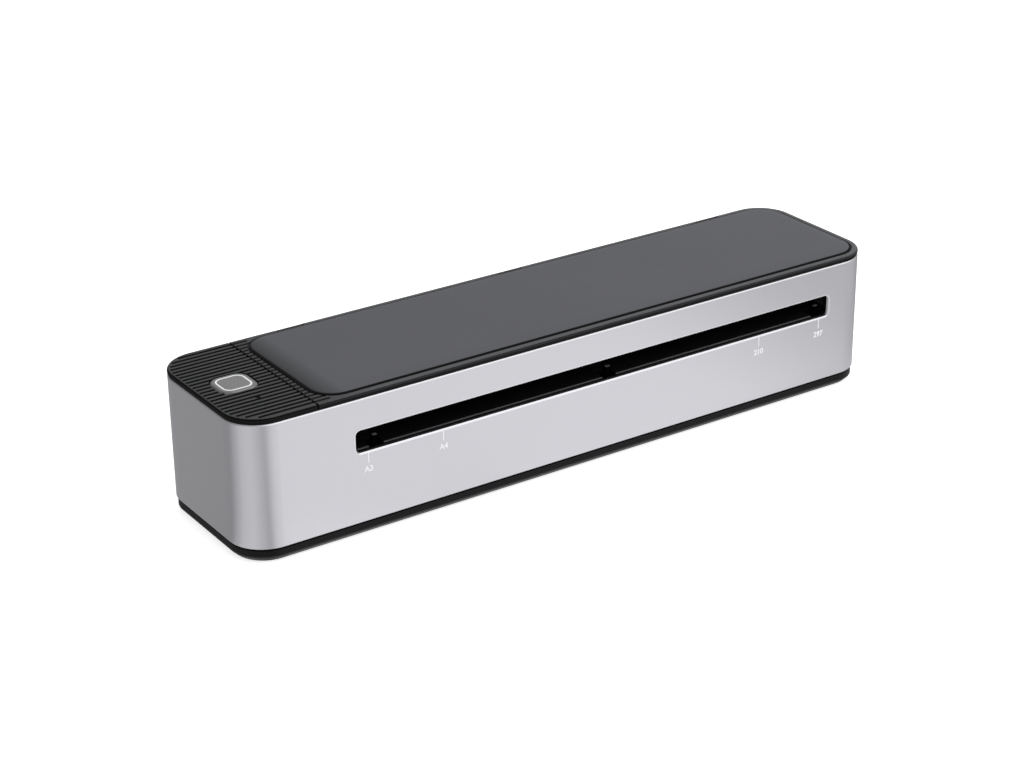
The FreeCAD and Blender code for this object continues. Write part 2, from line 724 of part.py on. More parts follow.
def pad_outline(sketch, grow):
    """Outline of the soft pad: tight corners follow the housing, the left ones are larger."""
    left = f"(dim.pad_start - fit.body_length / 2 - {grow})"
    right = f"(fit.body_length / 2 - dim.pad_inset + {grow})"
    half = f"(dim.body_depth / 2 - dim.pad_inset + {grow})"
    small = f"(dim.corner_radius - dim.pad_inset + {grow})"
    large = f"(dim.pad_corner + {grow})"
    x0, x1, h, r, s = (number(item) for item in (left, right, half, large, small))
    up = FreeCAD.Vector(0, 0, 1)
    runs = (
        ((x0 + r, -h), (x1 - s, -h)),
        ((x1, -h + s), (x1, h - s)),
        ((x1 - s, h), (x0 + r, h)),
        ((x0, h - r), (x0, -h + r)),
    )
    for start, end in runs:
        sketch.addGeometry(Part.LineSegment(FreeCAD.Vector(*start, 0), FreeCAD.Vector(*end, 0)), False)
    bends = ((x1 - s, -h + s, s), (x1 - s, h - s, s), (x0 + r, h - r, r), (x0 + r, -h + r, r))
    for i, (x, y, radius) in enumerate(bends):
        begin = math.radians(90 * (i - 1))
        circle = Part.Circle(FreeCAD.Vector(x, y, 0), up, radius)
        sketch.addGeometry(Part.ArcOfCircle(circle, begin, begin + math.pi / 2), False)
    for i in range(4):
        sketch.addConstraint(Sketcher.Constraint("Tangent", i, 2, 4 + i, 1))
        sketch.addConstraint(Sketcher.Constraint("Tangent", 4 + i, 2, (i + 1) % 4, 1))
        sketch.addConstraint(Sketcher.Constraint("Vertical" if i % 2 else "Horizontal", i))
    sketch.addConstraint(Sketcher.Constraint("Equal", 4, 5))
    sketch.addConstraint(Sketcher.Constraint("Equal", 6, 7))
    constrain(sketch, small, "Radius", 4)
    constrain(sketch, large, "Radius", 6)
    constrain(sketch, left, "DistanceX", -1, 1, 3, 1)
    constrain(sketch, right, "DistanceX", -1, 1, 1, 1)
    constrain(sketch, f"0 - {half}", "DistanceY", -1, 1, 0, 1)
    constrain(sketch, half, "DistanceY", -1, 1, 2, 1)
    return sketch


def make_lid():
    """Hinged lid plate with a recess for the pad, a hollow underside and hinge cut-outs."""
    body = body_for("lid_shell")
    cap_blank(body)
    trim(body, "0 - fit.body_length / 2 - dim.overrun", f"{SEAM_X} + dim.seam_gap / 2")
    recess = pad_outline(sketch_on(body, "XY_Plane", CAP_TOP), "dim.pad_gap")
    pocket(body, recess, "dim.pad_recess")
    start = f"({SEAM_X} - dim.overrun)"
    reach = "(dim.pad_start + dim.pad_corner / 3 - fit.body_length / 2)"
    rib_grooves(body, lambda middle: start, reach)
    hollow = sketch_on(body, "XY_Plane", CAP_LOW)
    right = "(fit.body_length / 2 - dim.cap_rim)"
    left = f"({SEAM_X} + dim.seam_gap / 2 + dim.cap_rim)"
    draw_round_box(
        hollow,
        f"{right} - {left}",
        "dim.body_depth - 2 * dim.cap_rim",
        "dim.corner_radius - dim.cap_rim",
        f"({right} + {left}) / 2",
        "0",
    )
    pocket(body, hollow, "dim.cap_hollow", True)
    for centre in KNUCKLE_X:
        notch = sketch_on(body, "XY_Plane", f"{CAP_TOP} + dim.overrun")
        half = "(dim.knuckle_width / 2 + dim.knuckle_gap)"
        front = f"{HINGE_Y} - dim.knuckle_reach"
        back = "dim.body_depth / 2 + dim.overrun"
        corners = [
            (f"{centre} - {half}", front),
            (f"{centre} + {half}", front),
            (f"{centre} + {half}", back),
            (f"{centre} - {half}", back),
        ]
        pocket(body, draw_polygon(notch, corners), "dim.cap_height + 2 * dim.overrun")
        bore = sketch_on(body, "YZ_Plane", f"{centre} - dim.pin_length / 2 - dim.pin_gap")
        draw_circles(bore, [(HINGE_Y, HINGE_Z)], "dim.pin_radius + dim.pin_gap")
        pocket(body, bore, "dim.pin_length + 2 * dim.pin_gap", True)


def make_lid_pad():
    """Soft pad laid in the lid's recess, its upper edge rolled over."""
    body = body_for("lid_pad")
    low = f"{CAP_TOP} - dim.pad_recess"
    slab = pad(body, pad_outline(sketch_on(body, "XY_Plane", low), "0"), "dim.pad_height")
    roll = "min(dim.pad_crown; dim.pad_height - dim.fit_gap)"
    fillet(body, slab, roll, lambda point: near(point.z, f"{low} + dim.pad_height"))


def make_hinge_pins():
    pins = []
    for centre in KNUCKLE_X:
        ends = (f"{centre} - dim.pin_length / 2", f"{centre} + dim.pin_length / 2")
        pins.append(rod("dim.pin_radius", *ends, (HINGE_Y, HINGE_Z), "x"))
    node(group(*pins), "hinge_pins")


def magnet_places():
    reach = "(fit.bay_length / 2 + 2 * dim.magnet_radius)"
    return [(f"(fit.slot_centre + {side} * {reach})", "0 - fit.magnet_reach") for side in (-1, 1)]


def make_magnets():
    """Two pairs of discs that hold the lid's front edge down."""
    lid_low = f"({CAP_UNDER} - dim.magnet_thickness)"
    lid = [rod("dim.magnet_radius", lid_low, CAP_UNDER, spot) for spot in magnet_places()]
    node(group(*lid), "lid_magnets")
    deck_low = f"({DECK_TOP} - dim.magnet_thickness)"
    deck = [rod("dim.magnet_radius", deck_low, DECK_TOP, spot) for spot in magnet_places()]
    node(group(*deck), "frame_magnets")


# Power button

RING_LOW = f"({CAP_TOP} - dim.ring_height)"
KEY_SIZE = "(dim.ring_outer - 2 * dim.ring_width - 2 * dim.key_gap)"
SWITCH_TOP = f"({RING_LOW} - dim.key_travel - dim.key_gap)"
PANEL_BOARD_TOP = f"({SWITCH_TOP} - dim.switch_height)"


def make_button():
    surround = body_for("button_surround")
    outer = sketch_on(surround, "XY_Plane", RING_LOW)
    draw_round_box(outer, "dim.button_outer", "dim.button_outer", "dim.button_corner", BUTTON_X, "0")
    rim = pad(surround, outer, "dim.ring_height")
    chamfer(surround, rim, "dim.button_bevel", lambda point: near(point.z, CAP_TOP))
    inner = sketch_on(surround, "XY_Plane", f"{CAP_TOP} + dim.overrun")
    opening = "(dim.ring_outer + 2 * dim.key_gap)"
    draw_round_box(inner, opening, opening, "dim.ring_corner + dim.key_gap", BUTTON_X, "0")
    pocket(surround, inner, "dim.ring_height + 2 * dim.overrun")
    ring = body_for("button_light_ring")
    outer = sketch_on(ring, "XY_Plane", RING_LOW)
    draw_round_box(outer, "dim.ring_outer", "dim.ring_outer", "dim.ring_corner", BUTTON_X, "0")
    hole = "(dim.ring_outer - 2 * dim.ring_width)"
    draw_round_box(outer, hole, hole, "dim.ring_corner - dim.ring_width", BUTTON_X, "0")
    pad(ring, outer, "dim.ring_height + dim.ring_proud")
    key = body_for("power_button")
    face = sketch_on(key, "XY_Plane", RING_LOW)
    corner = "dim.ring_corner - dim.ring_width - dim.key_gap"
    draw_round_box(face, KEY_SIZE, KEY_SIZE, corner, BUTTON_X, "0")
    height = "(dim.ring_height + dim.ring_proud + dim.key_proud)"
    cap = pad(key, face, height)
    fillet(key, cap, "dim.button_bevel / 2", lambda point: near(point.z, f"{RING_LOW} + {height}"))
    board = block(
        (f"{BUTTON_X} - dim.panel_board_length / 2", f"{BUTTON_X} + dim.panel_board_length / 2"),
        ("0 - fit.panel_board_depth / 2", "fit.panel_board_depth / 2"),
        (f"{PANEL_BOARD_TOP} - dim.board_thickness", PANEL_BOARD_TOP),
    )
    switch = block(
        (f"{BUTTON_X} - dim.key_stem", f"{BUTTON_X} + dim.key_stem"),
        ("0 - dim.key_stem", "dim.key_stem"),
        (PANEL_BOARD_TOP, SWITCH_TOP),
    )
    posts = []
    for side in (-1, 1):
        spot = (BUTTON_X, f"{side} * (fit.panel_board_depth / 2 - dim.panel_board_post)")
        posts.append(rod("dim.panel_board_post", PANEL_BOARD_TOP, DECK_LOW, spot))
    node(fuse(board, switch, *posts), "panel_board")


# Paper path

def make_bezels():
    """Black frames behind the sleeve's slots."""
    for label, face, backwards in (
        ("front_slot_bezel", "dim.body_depth / 2 - dim.sleeve_wall", True),
        ("rear_slot_bezel", "dim.sleeve_wall - dim.body_depth / 2", False),
    ):
        body = body_for(label)
        sketch = sketch_on(body, "XZ_Plane", face)
        draw_round_box(
            sketch,
            "dim.slot_width + 2 * dim.bezel_border",
            "dim.slot_height + dim.bezel_border",
            "dim.slot_radius",
            "fit.slot_centre",
            SLOT_Z,
        )
        draw_round_box(
            sketch,
            "dim.slot_width - 2 * dim.bezel_lip",
            "dim.slot_height - 2 * dim.bezel_lip",
            "dim.slot_radius - dim.bezel_lip",
            "fit.slot_centre",
            SLOT_Z,
        )
        pad(body, sketch, "dim.bezel_thickness", backwards)


def guide_profile(side, low):
    """Section of a bent guide sheet; side is -1 at the front and 1 at the rear."""
    mouth, thick = f"{side} * fit.guide_front", f"{side} * dim.guide_thickness"
    if low:
        throat = f"{side} * dim.lower_throat_y"
        sheet, lip = "dim.guide_thickness", "dim.lower_lip"
        mouth_z, throat_z = "fit.lower_mouth_z", "fit.lower_throat_z"
    else:
        throat = f"{side} * dim.upper_throat_y"
        sheet, lip = "(0 - dim.guide_thickness)", "(0 - dim.upper_lip)"
        mouth_z, throat_z = "fit.upper_mouth_z", "fit.upper_throat_z"
    return [
        (mouth, mouth_z),
        (throat, throat_z),
        (throat, f"{throat_z} - {sheet}"),
        (f"{mouth} - {thick}", f"{mouth_z} - {sheet}"),
        (f"{mouth} - {thick}", f"{mouth_z} - {lip}"),
        (mouth, f"{mouth_z} - {lip}"),
    ]


def make_guides():
    start = f"({LEFT_FACE} + dim.guide_gap)"
    length = "fit.frame_spacing - 2 * dim.guide_gap"
    for end, side in (("front", -1), ("rear", 1)):
        for level, low in (("lower", True), ("upper", False)):
            body = body_for(f"{level}_guide_{end}")
            pad(body, draw_polygon(sketch_on(body, "YZ_Plane", start), guide_profile(side, low)), length)
            if low and side < 0:
                add_lever_seats(body)


def add_lever_seats(body):
    """Notches for the paper levers and the ears that carry their pivots."""
    notches = sketch_on(body, "XY_Plane", "fit.lower_throat_z + dim.overrun")
    for centre in LEVER_X:
        left, right = f"{centre} - dim.notch_width / 2", f"{centre} + dim.notch_width / 2"
        front, back = "0 - fit.guide_front - dim.overrun", "dim.notch_depth - fit.guide_front"
        draw_polygon(notches, [(left, front), (right, front), (right, back), (left, back)])
    pocket(body, notches, "fit.lower_throat_z - fit.pivot_z + 2 * dim.overrun")
    reach = "(dim.pivot_radius + dim.ear_thickness)"
    slope = "(fit.lower_throat_z - fit.lower_mouth_z) / (fit.guide_front - dim.lower_throat_y)"
    for centre in LEVER_X:
        for hand in (-1, 1):
            middle = f"{centre} + {hand} * dim.ear_spacing / 2"
            ear = sketch_on(body, "YZ_Plane", f"{middle} - dim.ear_thickness / 2")
            front, back = f"0 - fit.pivot_y - {reach}", f"0 - fit.pivot_y + 2 * {reach}"
            sheet_top = "fit.lower_mouth_z - dim.guide_thickness / 2"
            corners = [
                (front, f"fit.pivot_z - {reach}"),
                (back, f"fit.pivot_z - {reach}"),
                (back, f"{sheet_top} + (fit.guide_front - fit.pivot_y + 2 * {reach}) * {slope}"),
                (front, f"{sheet_top} + (fit.guide_front - fit.pivot_y - {reach}) * {slope}"),
            ]
            pad(body, draw_polygon(ear, corners), "dim.ear_thickness")
    bores = sketch_on(body, "YZ_Plane", LEFT_FACE)
    draw_circles(bores, [("0 - fit.pivot_y", "fit.pivot_z")], "dim.pivot_radius + dim.pin_gap")
    pocket(body, bores, "fit.frame_spacing", True)


def make_levers():
    """Three paper levers on pins, with their optical forks on small boards."""
    pivot = ("0 - fit.pivot_y", "fit.pivot_z")
    half_span = "(dim.ear_spacing / 2 + dim.ear_thickness)"
    pins, boards = [], []
    for label, centre in zip(("left", "centre", "right"), LEVER_X):
        make_lever(f"sensor_lever_{label}", centre, pivot)
        ends = (f"{centre} - {half_span}", f"{centre} + {half_span}")
        pins.append(rod("dim.pivot_radius", *ends, pivot, "x"))
        boards.append(fork_board(centre))
    node(group(*pins), "sensor_pivots")
    node(group(*boards), "sensor_boards")


def make_lever(label, centre, pivot):
    """Lever with a finger in the paper path and a flag that swings out of the fork."""
    body = body_for(label)
    foot = "0 - fit.pivot_y"
    root = "dim.lever_root"
    start = f"{centre} - dim.lever_width / 2"
    hub = draw_circles(sketch_on(body, "YZ_Plane", start), [pivot], "dim.lever_hub")
    pad(body, hub, "dim.lever_width")
    finger = [
        (f"{foot} - {root}", "fit.pivot_z"),
        (f"{foot} + {root}", "fit.pivot_z"),
        (f"{foot} - dim.lever_lean + dim.lever_arm / 2", "fit.pivot_z + dim.lever_tip"),
        (f"{foot} - dim.lever_lean - dim.lever_arm / 2", "fit.pivot_z + dim.lever_tip"),
    ]
    flag = [
        (foot, f"fit.pivot_z - {root}"),
        (f"{foot} + dim.lever_flag", "fit.pivot_z - dim.lever_hub - dim.lever_arm"),
        (f"{foot} + dim.lever_flag", "fit.pivot_z - dim.lever_hub"),
        (foot, f"fit.pivot_z + {root}"),
    ]
    for outline in (finger, flag):
        pad(body, draw_polygon(sketch_on(body, "YZ_Plane", start), outline), "dim.lever_width")
    bore = sketch_on(body, "YZ_Plane", f"{centre} - dim.lever_width")
    draw_circles(bore, [pivot], "dim.pivot_radius + dim.pin_gap")
    pocket(body, bore, "2 * dim.lever_width", True)


def fork_board(centre):
    """Small upright board with the two cheeks of an optical fork."""
    inner = "(dim.lever_width / 2 + dim.fork_gap)"
    outer = f"({inner} + dim.fork_wall)"
    rear = "(dim.lever_flag + dim.fork_gap - fit.pivot_y)"
    top = "(fit.pivot_z + dim.fork_gap)"
    low = f"({top} - dim.fork_height)"
    cheek_y = (f"{rear} - dim.fork_depth / 2", rear)
    right = block((f"{centre} + {inner}", f"{centre} + {outer}"), cheek_y, (low, top))
    left = block((f"{centre} - {outer}", f"{centre} - {inner}"), cheek_y, (low, top))
    plate = block(
        (f"{centre} - dim.fork_board_half", f"{centre} + dim.fork_board_half"),
        (rear, f"{rear} + dim.board_thickness"),
        (low, "fit.lower_mouth_z - dim.guide_thickness + dim.fork_gap"),
    )
    return fuse(plate, left, right)


def make_side_frame(label, outward, face):
    """Steel side plate with a foot turned to the left, standing on the tray's floor."""
    body = body_for(label)
    half = "(fit.frame_depth / 2)"
    top = f"({FLOOR} + dim.frame_height)"
    bevel = "(fit.frame_depth / 6)"
    corners = [
        (f"0 - {half}", FLOOR),
        (half, FLOOR),
        (half, f"{top} - {bevel}"),
        (f"{half} - {bevel}", top),
        (f"{bevel} - {half}", top),
        (f"0 - {half}", f"{top} - {bevel}"),
    ]
    pad(body, draw_polygon(sketch_on(body, "YZ_Plane", face), corners), "dim.frame_plate", outward < 0)
    foot = sketch_on(body, "YZ_Plane", face)
    corners = [
        (f"0 - {half}", FLOOR),
        (half, FLOOR),
        (half, f"{FLOOR} + dim.frame_plate"),
        (f"0 - {half}", f"{FLOOR} + dim.frame_plate"),
    ]
    foot_length = "dim.frame_foot" if outward > 0 else "dim.frame_plate + dim.frame_foot"
    pad(body, draw_polygon(foot, corners), foot_length, True)
    seat = sketch_on(body, "YZ_Plane", f"{face} - dim.overrun")
    draw_circles(seat, [("0", "fit.platen_z")], "dim.bush_radius")
    if outward < 0:
        draw_circles(seat, [("0 - dim.compound_offset", PINION_Z)], "dim.stud_radius")
    pocket(body, seat, "2 * dim.overrun", True)


def make_platen():
    """Rubber covered roller on a stepped shaft that runs in two flanged bushes."""
    axis = ("0", "fit.platen_z")
    half = "(fit.platen_length / 2)"
    low, high = f"(fit.slot_centre - {half})", f"(fit.slot_centre + {half})"
    rubber = rod("dim.platen_radius", low, high, axis, "x")
    core = rod("dim.shaft_radius", f"{low} - dim.overrun", f"{high} + dim.overrun", axis, "x")
    node(cut(rubber, core), "platen_rubber")
    body = body_for("platen_shaft")
    shoulder = f"({LEFT_FACE} + dim.bush_flange_width + dim.guide_gap)"
    right_shoulder = f"({RIGHT_FACE} - dim.bush_flange_width - dim.guide_gap)"
    left_end = f"({GEAR_FACE} - dim.gear_width - dim.clip_thickness - dim.pin_gap)"
    right_end = f"({RIGHT_FACE} + dim.frame_plate + dim.bush_flange_width + 2 * dim.clip_thickness)"
    sketch = sketch_on(body, "XZ_Plane")
    corners = [
        (left_end, "0"),
        (right_end, "0"),
        (right_end, "dim.journal_radius"),
        (right_shoulder, "dim.journal_radius"),
        (right_shoulder, "dim.shaft_radius"),
        (shoulder, "dim.shaft_radius"),
        (shoulder, "dim.journal_radius"),
        (left_end, "dim.journal_radius"),
    ]
    draw_polygon(sketch, corners)
    turned = body.newObject("PartDesign::Revolution", "turned")
    turned.Profile = sketch
    turned.ReferenceAxis = (sketch, ["H_Axis"])
    turned.Angle = 360
    body.Tip = turned
    place(body, z="fit.platen_z")
    bushes = []
    for face, outward in ((LEFT_FACE, -1), (RIGHT_FACE, 1)):
        inner = f"({face} - {outward} * dim.bush_flange_width)"
        outer = f"({face} + {outward} * dim.frame_plate)"
        start, end = (inner, outer) if outward > 0 else (outer, inner)
        flange = (inner, face) if outward > 0 else (face, inner)
        barrel = rod("dim.bush_radius", start, end, axis, "x")
        solid = fuse(barrel, rod("dim.bush_flange", *flange, axis, "x"))
        radius = "dim.journal_radius + dim.pin_gap"
        bore = rod(radius, f"{start} - dim.overrun", f"{end} + dim.overrun", axis, "x")
        bushes.append(cut(solid, bore))
    node(group(*bushes), "platen_bearings")
    clips = []
    for start in (
        f"({GEAR_FACE} - dim.gear_width - dim.clip_thickness)",
        f"({RIGHT_FACE} + dim.frame_plate + dim.bush_flange_width)",
    ):
        disc = rod("dim.clip_radius", start, f"{start} + dim.clip_thickness", axis, "x")
        bore = rod("dim.journal_radius", f"{start} - dim.overrun", f"{start} + dim.overrun", axis, "x")
        clips.append(cut(disc, bore))
    node(group(*clips), "platen_clips")


# Gear train

def involute(angle):
    return math.tan(angle) - angle


def gear_face(teeth, phase, bore):
    """Face of a spur gear in its own plane, one tooth centred on the phase angle in degrees."""
    module = number("dim.gear_module")
    pressure = math.radians(PRESSURE_ANGLE)
    pitch = module * teeth / 2
    base = pitch * math.cos(pressure)
    tip, root = pitch + TIP_SHARE * module, pitch - ROOT_SHARE * module
    half_pitch = math.pi / (2 * teeth) - number("dim.gear_backlash") / (2 * pitch)
    start = max(root, base)
    radii = [start + (tip - start) * i / FLANK_STEPS for i in range(FLANK_STEPS + 1)]
    flank = []
    for radius in radii:
        half = half_pitch + involute(pressure) - involute(math.acos(min(base / radius, 1)))
        flank.append((radius, half))
    foot = (root, flank[0][1])
    side = [foot] + flank if root < base else flank
    points = []
    for i in range(teeth):
        middle = math.radians(phase) + 2 * math.pi * i / teeth
        for radius, half in side:
            points.append((radius, middle - half))
        for radius, half in reversed(side):
            points.append((radius, middle + half))
    vectors = [FreeCAD.Vector(r * math.cos(a), r * math.sin(a), 0) for r, a in points]
    outline = Part.makePolygon(vectors + vectors[:1])
    hole = Part.Wire([Part.Circle(FreeCAD.Vector(0, 0, 0), FreeCAD.Vector(0, 0, 1), bore).toShape()])
    return Part.makeFace([outline, hole], "Part::FaceMakerBullseye")


def gear_solid(teeth, phase, bore, width):
    """Spur gear of the given width about its own axis."""
    return gear_face(teeth, phase, bore).extrude(FreeCAD.Vector(0, 0, width))


def gear_feature(label, shape, low, y, z):
    """Sub-part whose gear shape lies along X and starts at low."""
    item = node(doc.addObject("Part::Feature", label), label)
    item.Shape = shape
    item.Placement = FreeCAD.Placement(FreeCAD.Vector(low, number(y), number(z)), ALONG_X)
    return item


def make_gears():
    """Platen gear, compound gear and motor pinion, in mesh at rest."""
    face, gap = number(GEAR_FACE), number("dim.pin_gap")
    width = number("dim.gear_width")
    drop, offset = number("dim.compound_drop"), number("dim.compound_offset")
    lean = math.degrees(math.atan2(drop, offset))
    journal = number("dim.journal_radius")
    platen_phase = lean + 180 + 180 / COUNTS["platen_teeth"]
    platen = gear_solid(COUNTS["platen_teeth"], platen_phase, journal, width)
    gear_feature("platen_gear", platen, face - width, "0", "fit.platen_z")
    bore = number("dim.stud_radius") + gap
    high, low = number(WHEEL_HIGH), number(WHEEL_LOW)
    small = gear_solid(COUNTS["small_teeth"], lean, bore, face - low)
    wheel = gear_solid(COUNTS["wheel_teeth"], 0, bore, high - low)
    joined = small.fuse(wheel).removeSplitter()
    gear_feature("compound_gear", joined, low, "0 - dim.compound_offset", PINION_Z)
    pinion_phase = 180 + 180 / COUNTS["pinion_teeth"]
    shaft = number("dim.motor_shaft_radius")
    pinion = gear_solid(COUNTS["pinion_teeth"], pinion_phase, shaft, high - low)
    gear_feature("motor_pinion", pinion, low, "fit.pinion_y", PINION_Z)
    spot = ("0 - dim.compound_offset", PINION_Z)
    stud_low = f"({WHEEL_LOW} - dim.clip_thickness - dim.guide_gap)"
    stud = rod("dim.stud_radius", stud_low, LEFT_FACE, spot, "x")
    cap = rod("dim.clip_radius", stud_low, f"{stud_low} + dim.clip_thickness", spot, "x")
    node(fuse(stud, cap), "gear_stud")


def make_motor():
    spot = ("fit.pinion_y", PINION_Z)
    back = f"({PLATE_X} - dim.bracket_sheet)"
    width = "(dim.motor_radius + dim.overrun)"
    across = (f"fit.pinion_y - {width}", f"fit.pinion_y + {width}")
    can = rod("dim.motor_radius", f"{back} - dim.motor_length", back, spot, "x")
    boss = rod("dim.motor_boss", back, PLATE_X, spot, "x")
    ear_z = (f"{PINION_Z} - dim.overrun", f"{PINION_Z} + dim.overrun")
    ear = block((f"{back} - dim.bracket_sheet", back), across, ear_z)
    middle = f"({back} - dim.motor_length / 2)"
    bore = rod("dim.motor_shaft_radius + dim.pin_gap", middle, f"{PLATE_X} + dim.overrun", spot, "x")
    node(cut(fuse(can, boss, ear), bore), "drive_motor")
    shaft_end = f"{WHEEL_HIGH} + dim.clip_thickness / 2"
    node(rod("dim.motor_shaft_radius", f"{middle} + dim.pin_gap", shaft_end, spot, "x"), "motor_shaft")
    plate = block((back, PLATE_X), across, (FLOOR, "fit.bracket_height"))
    foot = block((back, f"{PLATE_X} + dim.overrun"), across, (FLOOR, f"{FLOOR} + dim.bracket_sheet"))
    ends = (f"{back} - dim.overrun", f"{PLATE_X} + dim.overrun")
    hole = rod("dim.motor_boss + dim.pin_gap", *ends, spot, "x")
    node(cut(fuse(plate, foot), hole), "motor_bracket")


# Print head, carried by the lid

def make_head():
    """Bracket under the lid, heat sink bar with its ceramic strip, and the springs between them."""
    start, end = "(fit.slot_centre - fit.head_length / 2)", "(fit.slot_centre + fit.head_length / 2)"
    body = body_for("head_bracket")
    half, sheet, flange = "dim.bracket_half", "dim.bracket_sheet", "dim.bracket_flange"
    right = [
        (f"{half} - {sheet}", f"{WEB_LOW} + {sheet}"),
        (f"{half} - {sheet}", CAP_UNDER),
        (f"{half} + {flange}", CAP_UNDER),
        (f"{half} + {flange}", f"{CAP_UNDER} - {sheet}"),
        (half, f"{CAP_UNDER} - {sheet}"),
        (half, WEB_LOW),
    ]
    left = [(f"0 - ({y})", z) for y, z in reversed(right)]
    pad(body, draw_polygon(sketch_on(body, "YZ_Plane", start), right + left), "fit.head_length")
    spots = [(x, "0") for x in PIN_X]
    holes = draw_circles(sketch_on(body, "XY_Plane", CAP_UNDER), spots, "dim.head_pin_radius + dim.pin_gap")
    pocket(body, holes, f"{CAP_UNDER} - {WEB_LOW} + dim.overrun")
    bar_y = ("0 - dim.head_depth / 2", "dim.head_depth / 2")
    bar = block((start, end), bar_y, (BAR_LOW, BAR_TOP))
    web_top = f"({WEB_LOW} + dim.bracket_sheet)"
    pins = []
    for spot in spots:
        pins.append(rod("dim.head_pin_radius", BAR_TOP, f"{web_top} + dim.bracket_sheet", spot))
        pins.append(rod("dim.head_pin_cap", web_top, f"{web_top} + dim.bracket_sheet", spot))
    node(fuse(bar, *pins), "print_head")
    strip_y = ("0 - dim.substrate_depth / 2", "dim.substrate_depth / 2")
    node(block((start, end), strip_y, (HEAD_LOW, BAR_LOW)), "head_substrate")
    item = node(doc.addObject("Part::Feature", "head_springs"), "head_springs")
    item.Shape = Part.Compound([spring(number(x), number(y)) for x, y in spots])


def spring(x, y):
    """Compression spring under the bracket's web: a six-sided wire along half-turn arcs of its helix."""
    wire, radius = number("dim.spring_wire"), number("dim.spring_radius")
    low, high = number(BAR_TOP) + wire, number(WEB_LOW) - wire
    halves, sides = 2 * COUNTS["spring_turns"], COUNTS["spring_sides"]

    def point(half):
        angle = math.pi * half
        rise = low + (high - low) * half / halves
        return FreeCAD.Vector(x + radius * math.cos(angle), y + radius * math.sin(angle), rise)

    def corner(side):
        angle = 2 * math.pi * (side % sides) / sides
        return point(0) + (across * math.cos(angle) + upright * math.sin(angle)) * wire

    arcs = [Part.Arc(point(i), point(i + 0.5), point(i + 1)).toShape() for i in range(halves)]
    path = Part.Wire(arcs)
    along = arcs[0].tangentAt(arcs[0].FirstParameter)
    across = along.cross(FreeCAD.Vector(0, 0, 1)).normalize()
    upright = along.cross(across).normalize()
    section = Part.Wire([Part.LineSegment(corner(i), corner(i + 1)).toShape() for i in range(sides)])
    return path.makePipeShell([section], True, False)


# Electronics

def standoff_places():
    low_x = "(fit.main_start + 2 * dim.standoff_radius)"
    high_x = "(fit.main_start + fit.main_length - 2 * dim.standoff_radius)"
    front = "(fit.main_rear - dim.main_depth + 2 * dim.standoff_radius)"
    rear = "(fit.main_rear - 3 * dim.standoff_radius)"
    return [(x, y) for x in (low_x, high_x) for y in (front, rear)]


CHIP_SHARES = ((0.18, 0.35, 0.14, 0.24), (0.45, 0.55, 0.12, 0.22), (0.72, 0.3, 0.18, 0.16))


def make_electronics():
    front, end = "(fit.main_rear - dim.main_depth)", "fit.main_start + fit.main_length"
    board = block(("fit.main_start", end), (front, "fit.main_rear"), (BOARD_LOW, BOARD_TOP))
    chips = []
    for x_share, y_share, long_share, deep_share in CHIP_SHARES:
        x = f"fit.main_start + {x_share} * fit.main_length"
        y = f"{front} + {y_share} * dim.main_depth"
        along = (x, f"{x} + {long_share} * fit.main_length")
        across = (y, f"{y} + {deep_share} * dim.main_depth")
        chips.append(block(along, across, (BOARD_TOP, f"{BOARD_TOP} + dim.board_thickness")))
    node(fuse(board, *chips), "main_board")
    socket = body_for("usb_socket")
    mouth = "0 - dim.body_depth / 2 + dim.socket_margin"
    middle = f"{BOARD_TOP} + dim.socket_height / 2"
    outer = sketch_on(socket, "XZ_Plane", mouth)
    round_end = "dim.socket_height / 2 - dim.pin_gap"
    draw_round_box(outer, "dim.socket_width", "dim.socket_height", round_end, "fit.socket_place", middle)
    pad(socket, outer, "dim.socket_depth")
    inner = sketch_on(socket, "XZ_Plane", mouth)
    width, height = (f"{size} - 2 * dim.socket_wall" for size in ("dim.socket_width", "dim.socket_height"))
    draw_round_box(inner, width, height, f"{round_end} - dim.socket_wall", "fit.socket_place", middle)
    pocket(socket, inner, "dim.socket_depth - dim.socket_tongue", True)


def make_battery():
    """Four round cells in a tray with a cradle for each."""
    wall = "dim.holder_wall"
    end = "(fit.holder_end + fit.holder_length)"
    half = f"(dim.cell_spacing + {wall})"
    base = block(("fit.holder_end", end), (f"0 - {half}", half), (FLOOR, f"{FLOOR} + dim.holder_height"))
    axis_z = f"({FLOOR} + {wall} + dim.cell_radius + dim.fit_gap)"
    cells, cradles = [], []
    for row in (-1, 1):
        spot = (f"{row} * dim.cell_spacing / 2", axis_z)
        for column in (0, 1):
            start = f"(fit.holder_end + {wall} + {column} * (dim.cell_length + {wall}) + dim.fit_gap)"
            stop = f"({start} + dim.cell_length)"
            cells.append(rod("dim.cell_radius", start, stop, spot, "x"))
            clear = (f"{start} - dim.fit_gap / 2", f"{stop} + dim.fit_gap / 2")
            cradles.append(rod("dim.cell_radius + dim.fit_gap", *clear, spot, "x"))
    node(group(*cells), "battery_cells")
    node(cut(base, *cradles), "battery_holder")


make_sleeve()
make_base_tray()
make_feet_and_screws()
make_top_frame()
make_control_panel()
make_lid()
make_lid_pad()
make_hinge_pins()
make_magnets()
make_button()
make_bezels()
make_guides()
make_levers()
make_side_frame("side_frame_left", -1, LEFT_FACE)
make_side_frame("side_frame_right", 1, RIGHT_FACE)
make_platen()
make_gears()
make_motor()
make_head()
make_electronics()
make_battery()
doc.recompute()

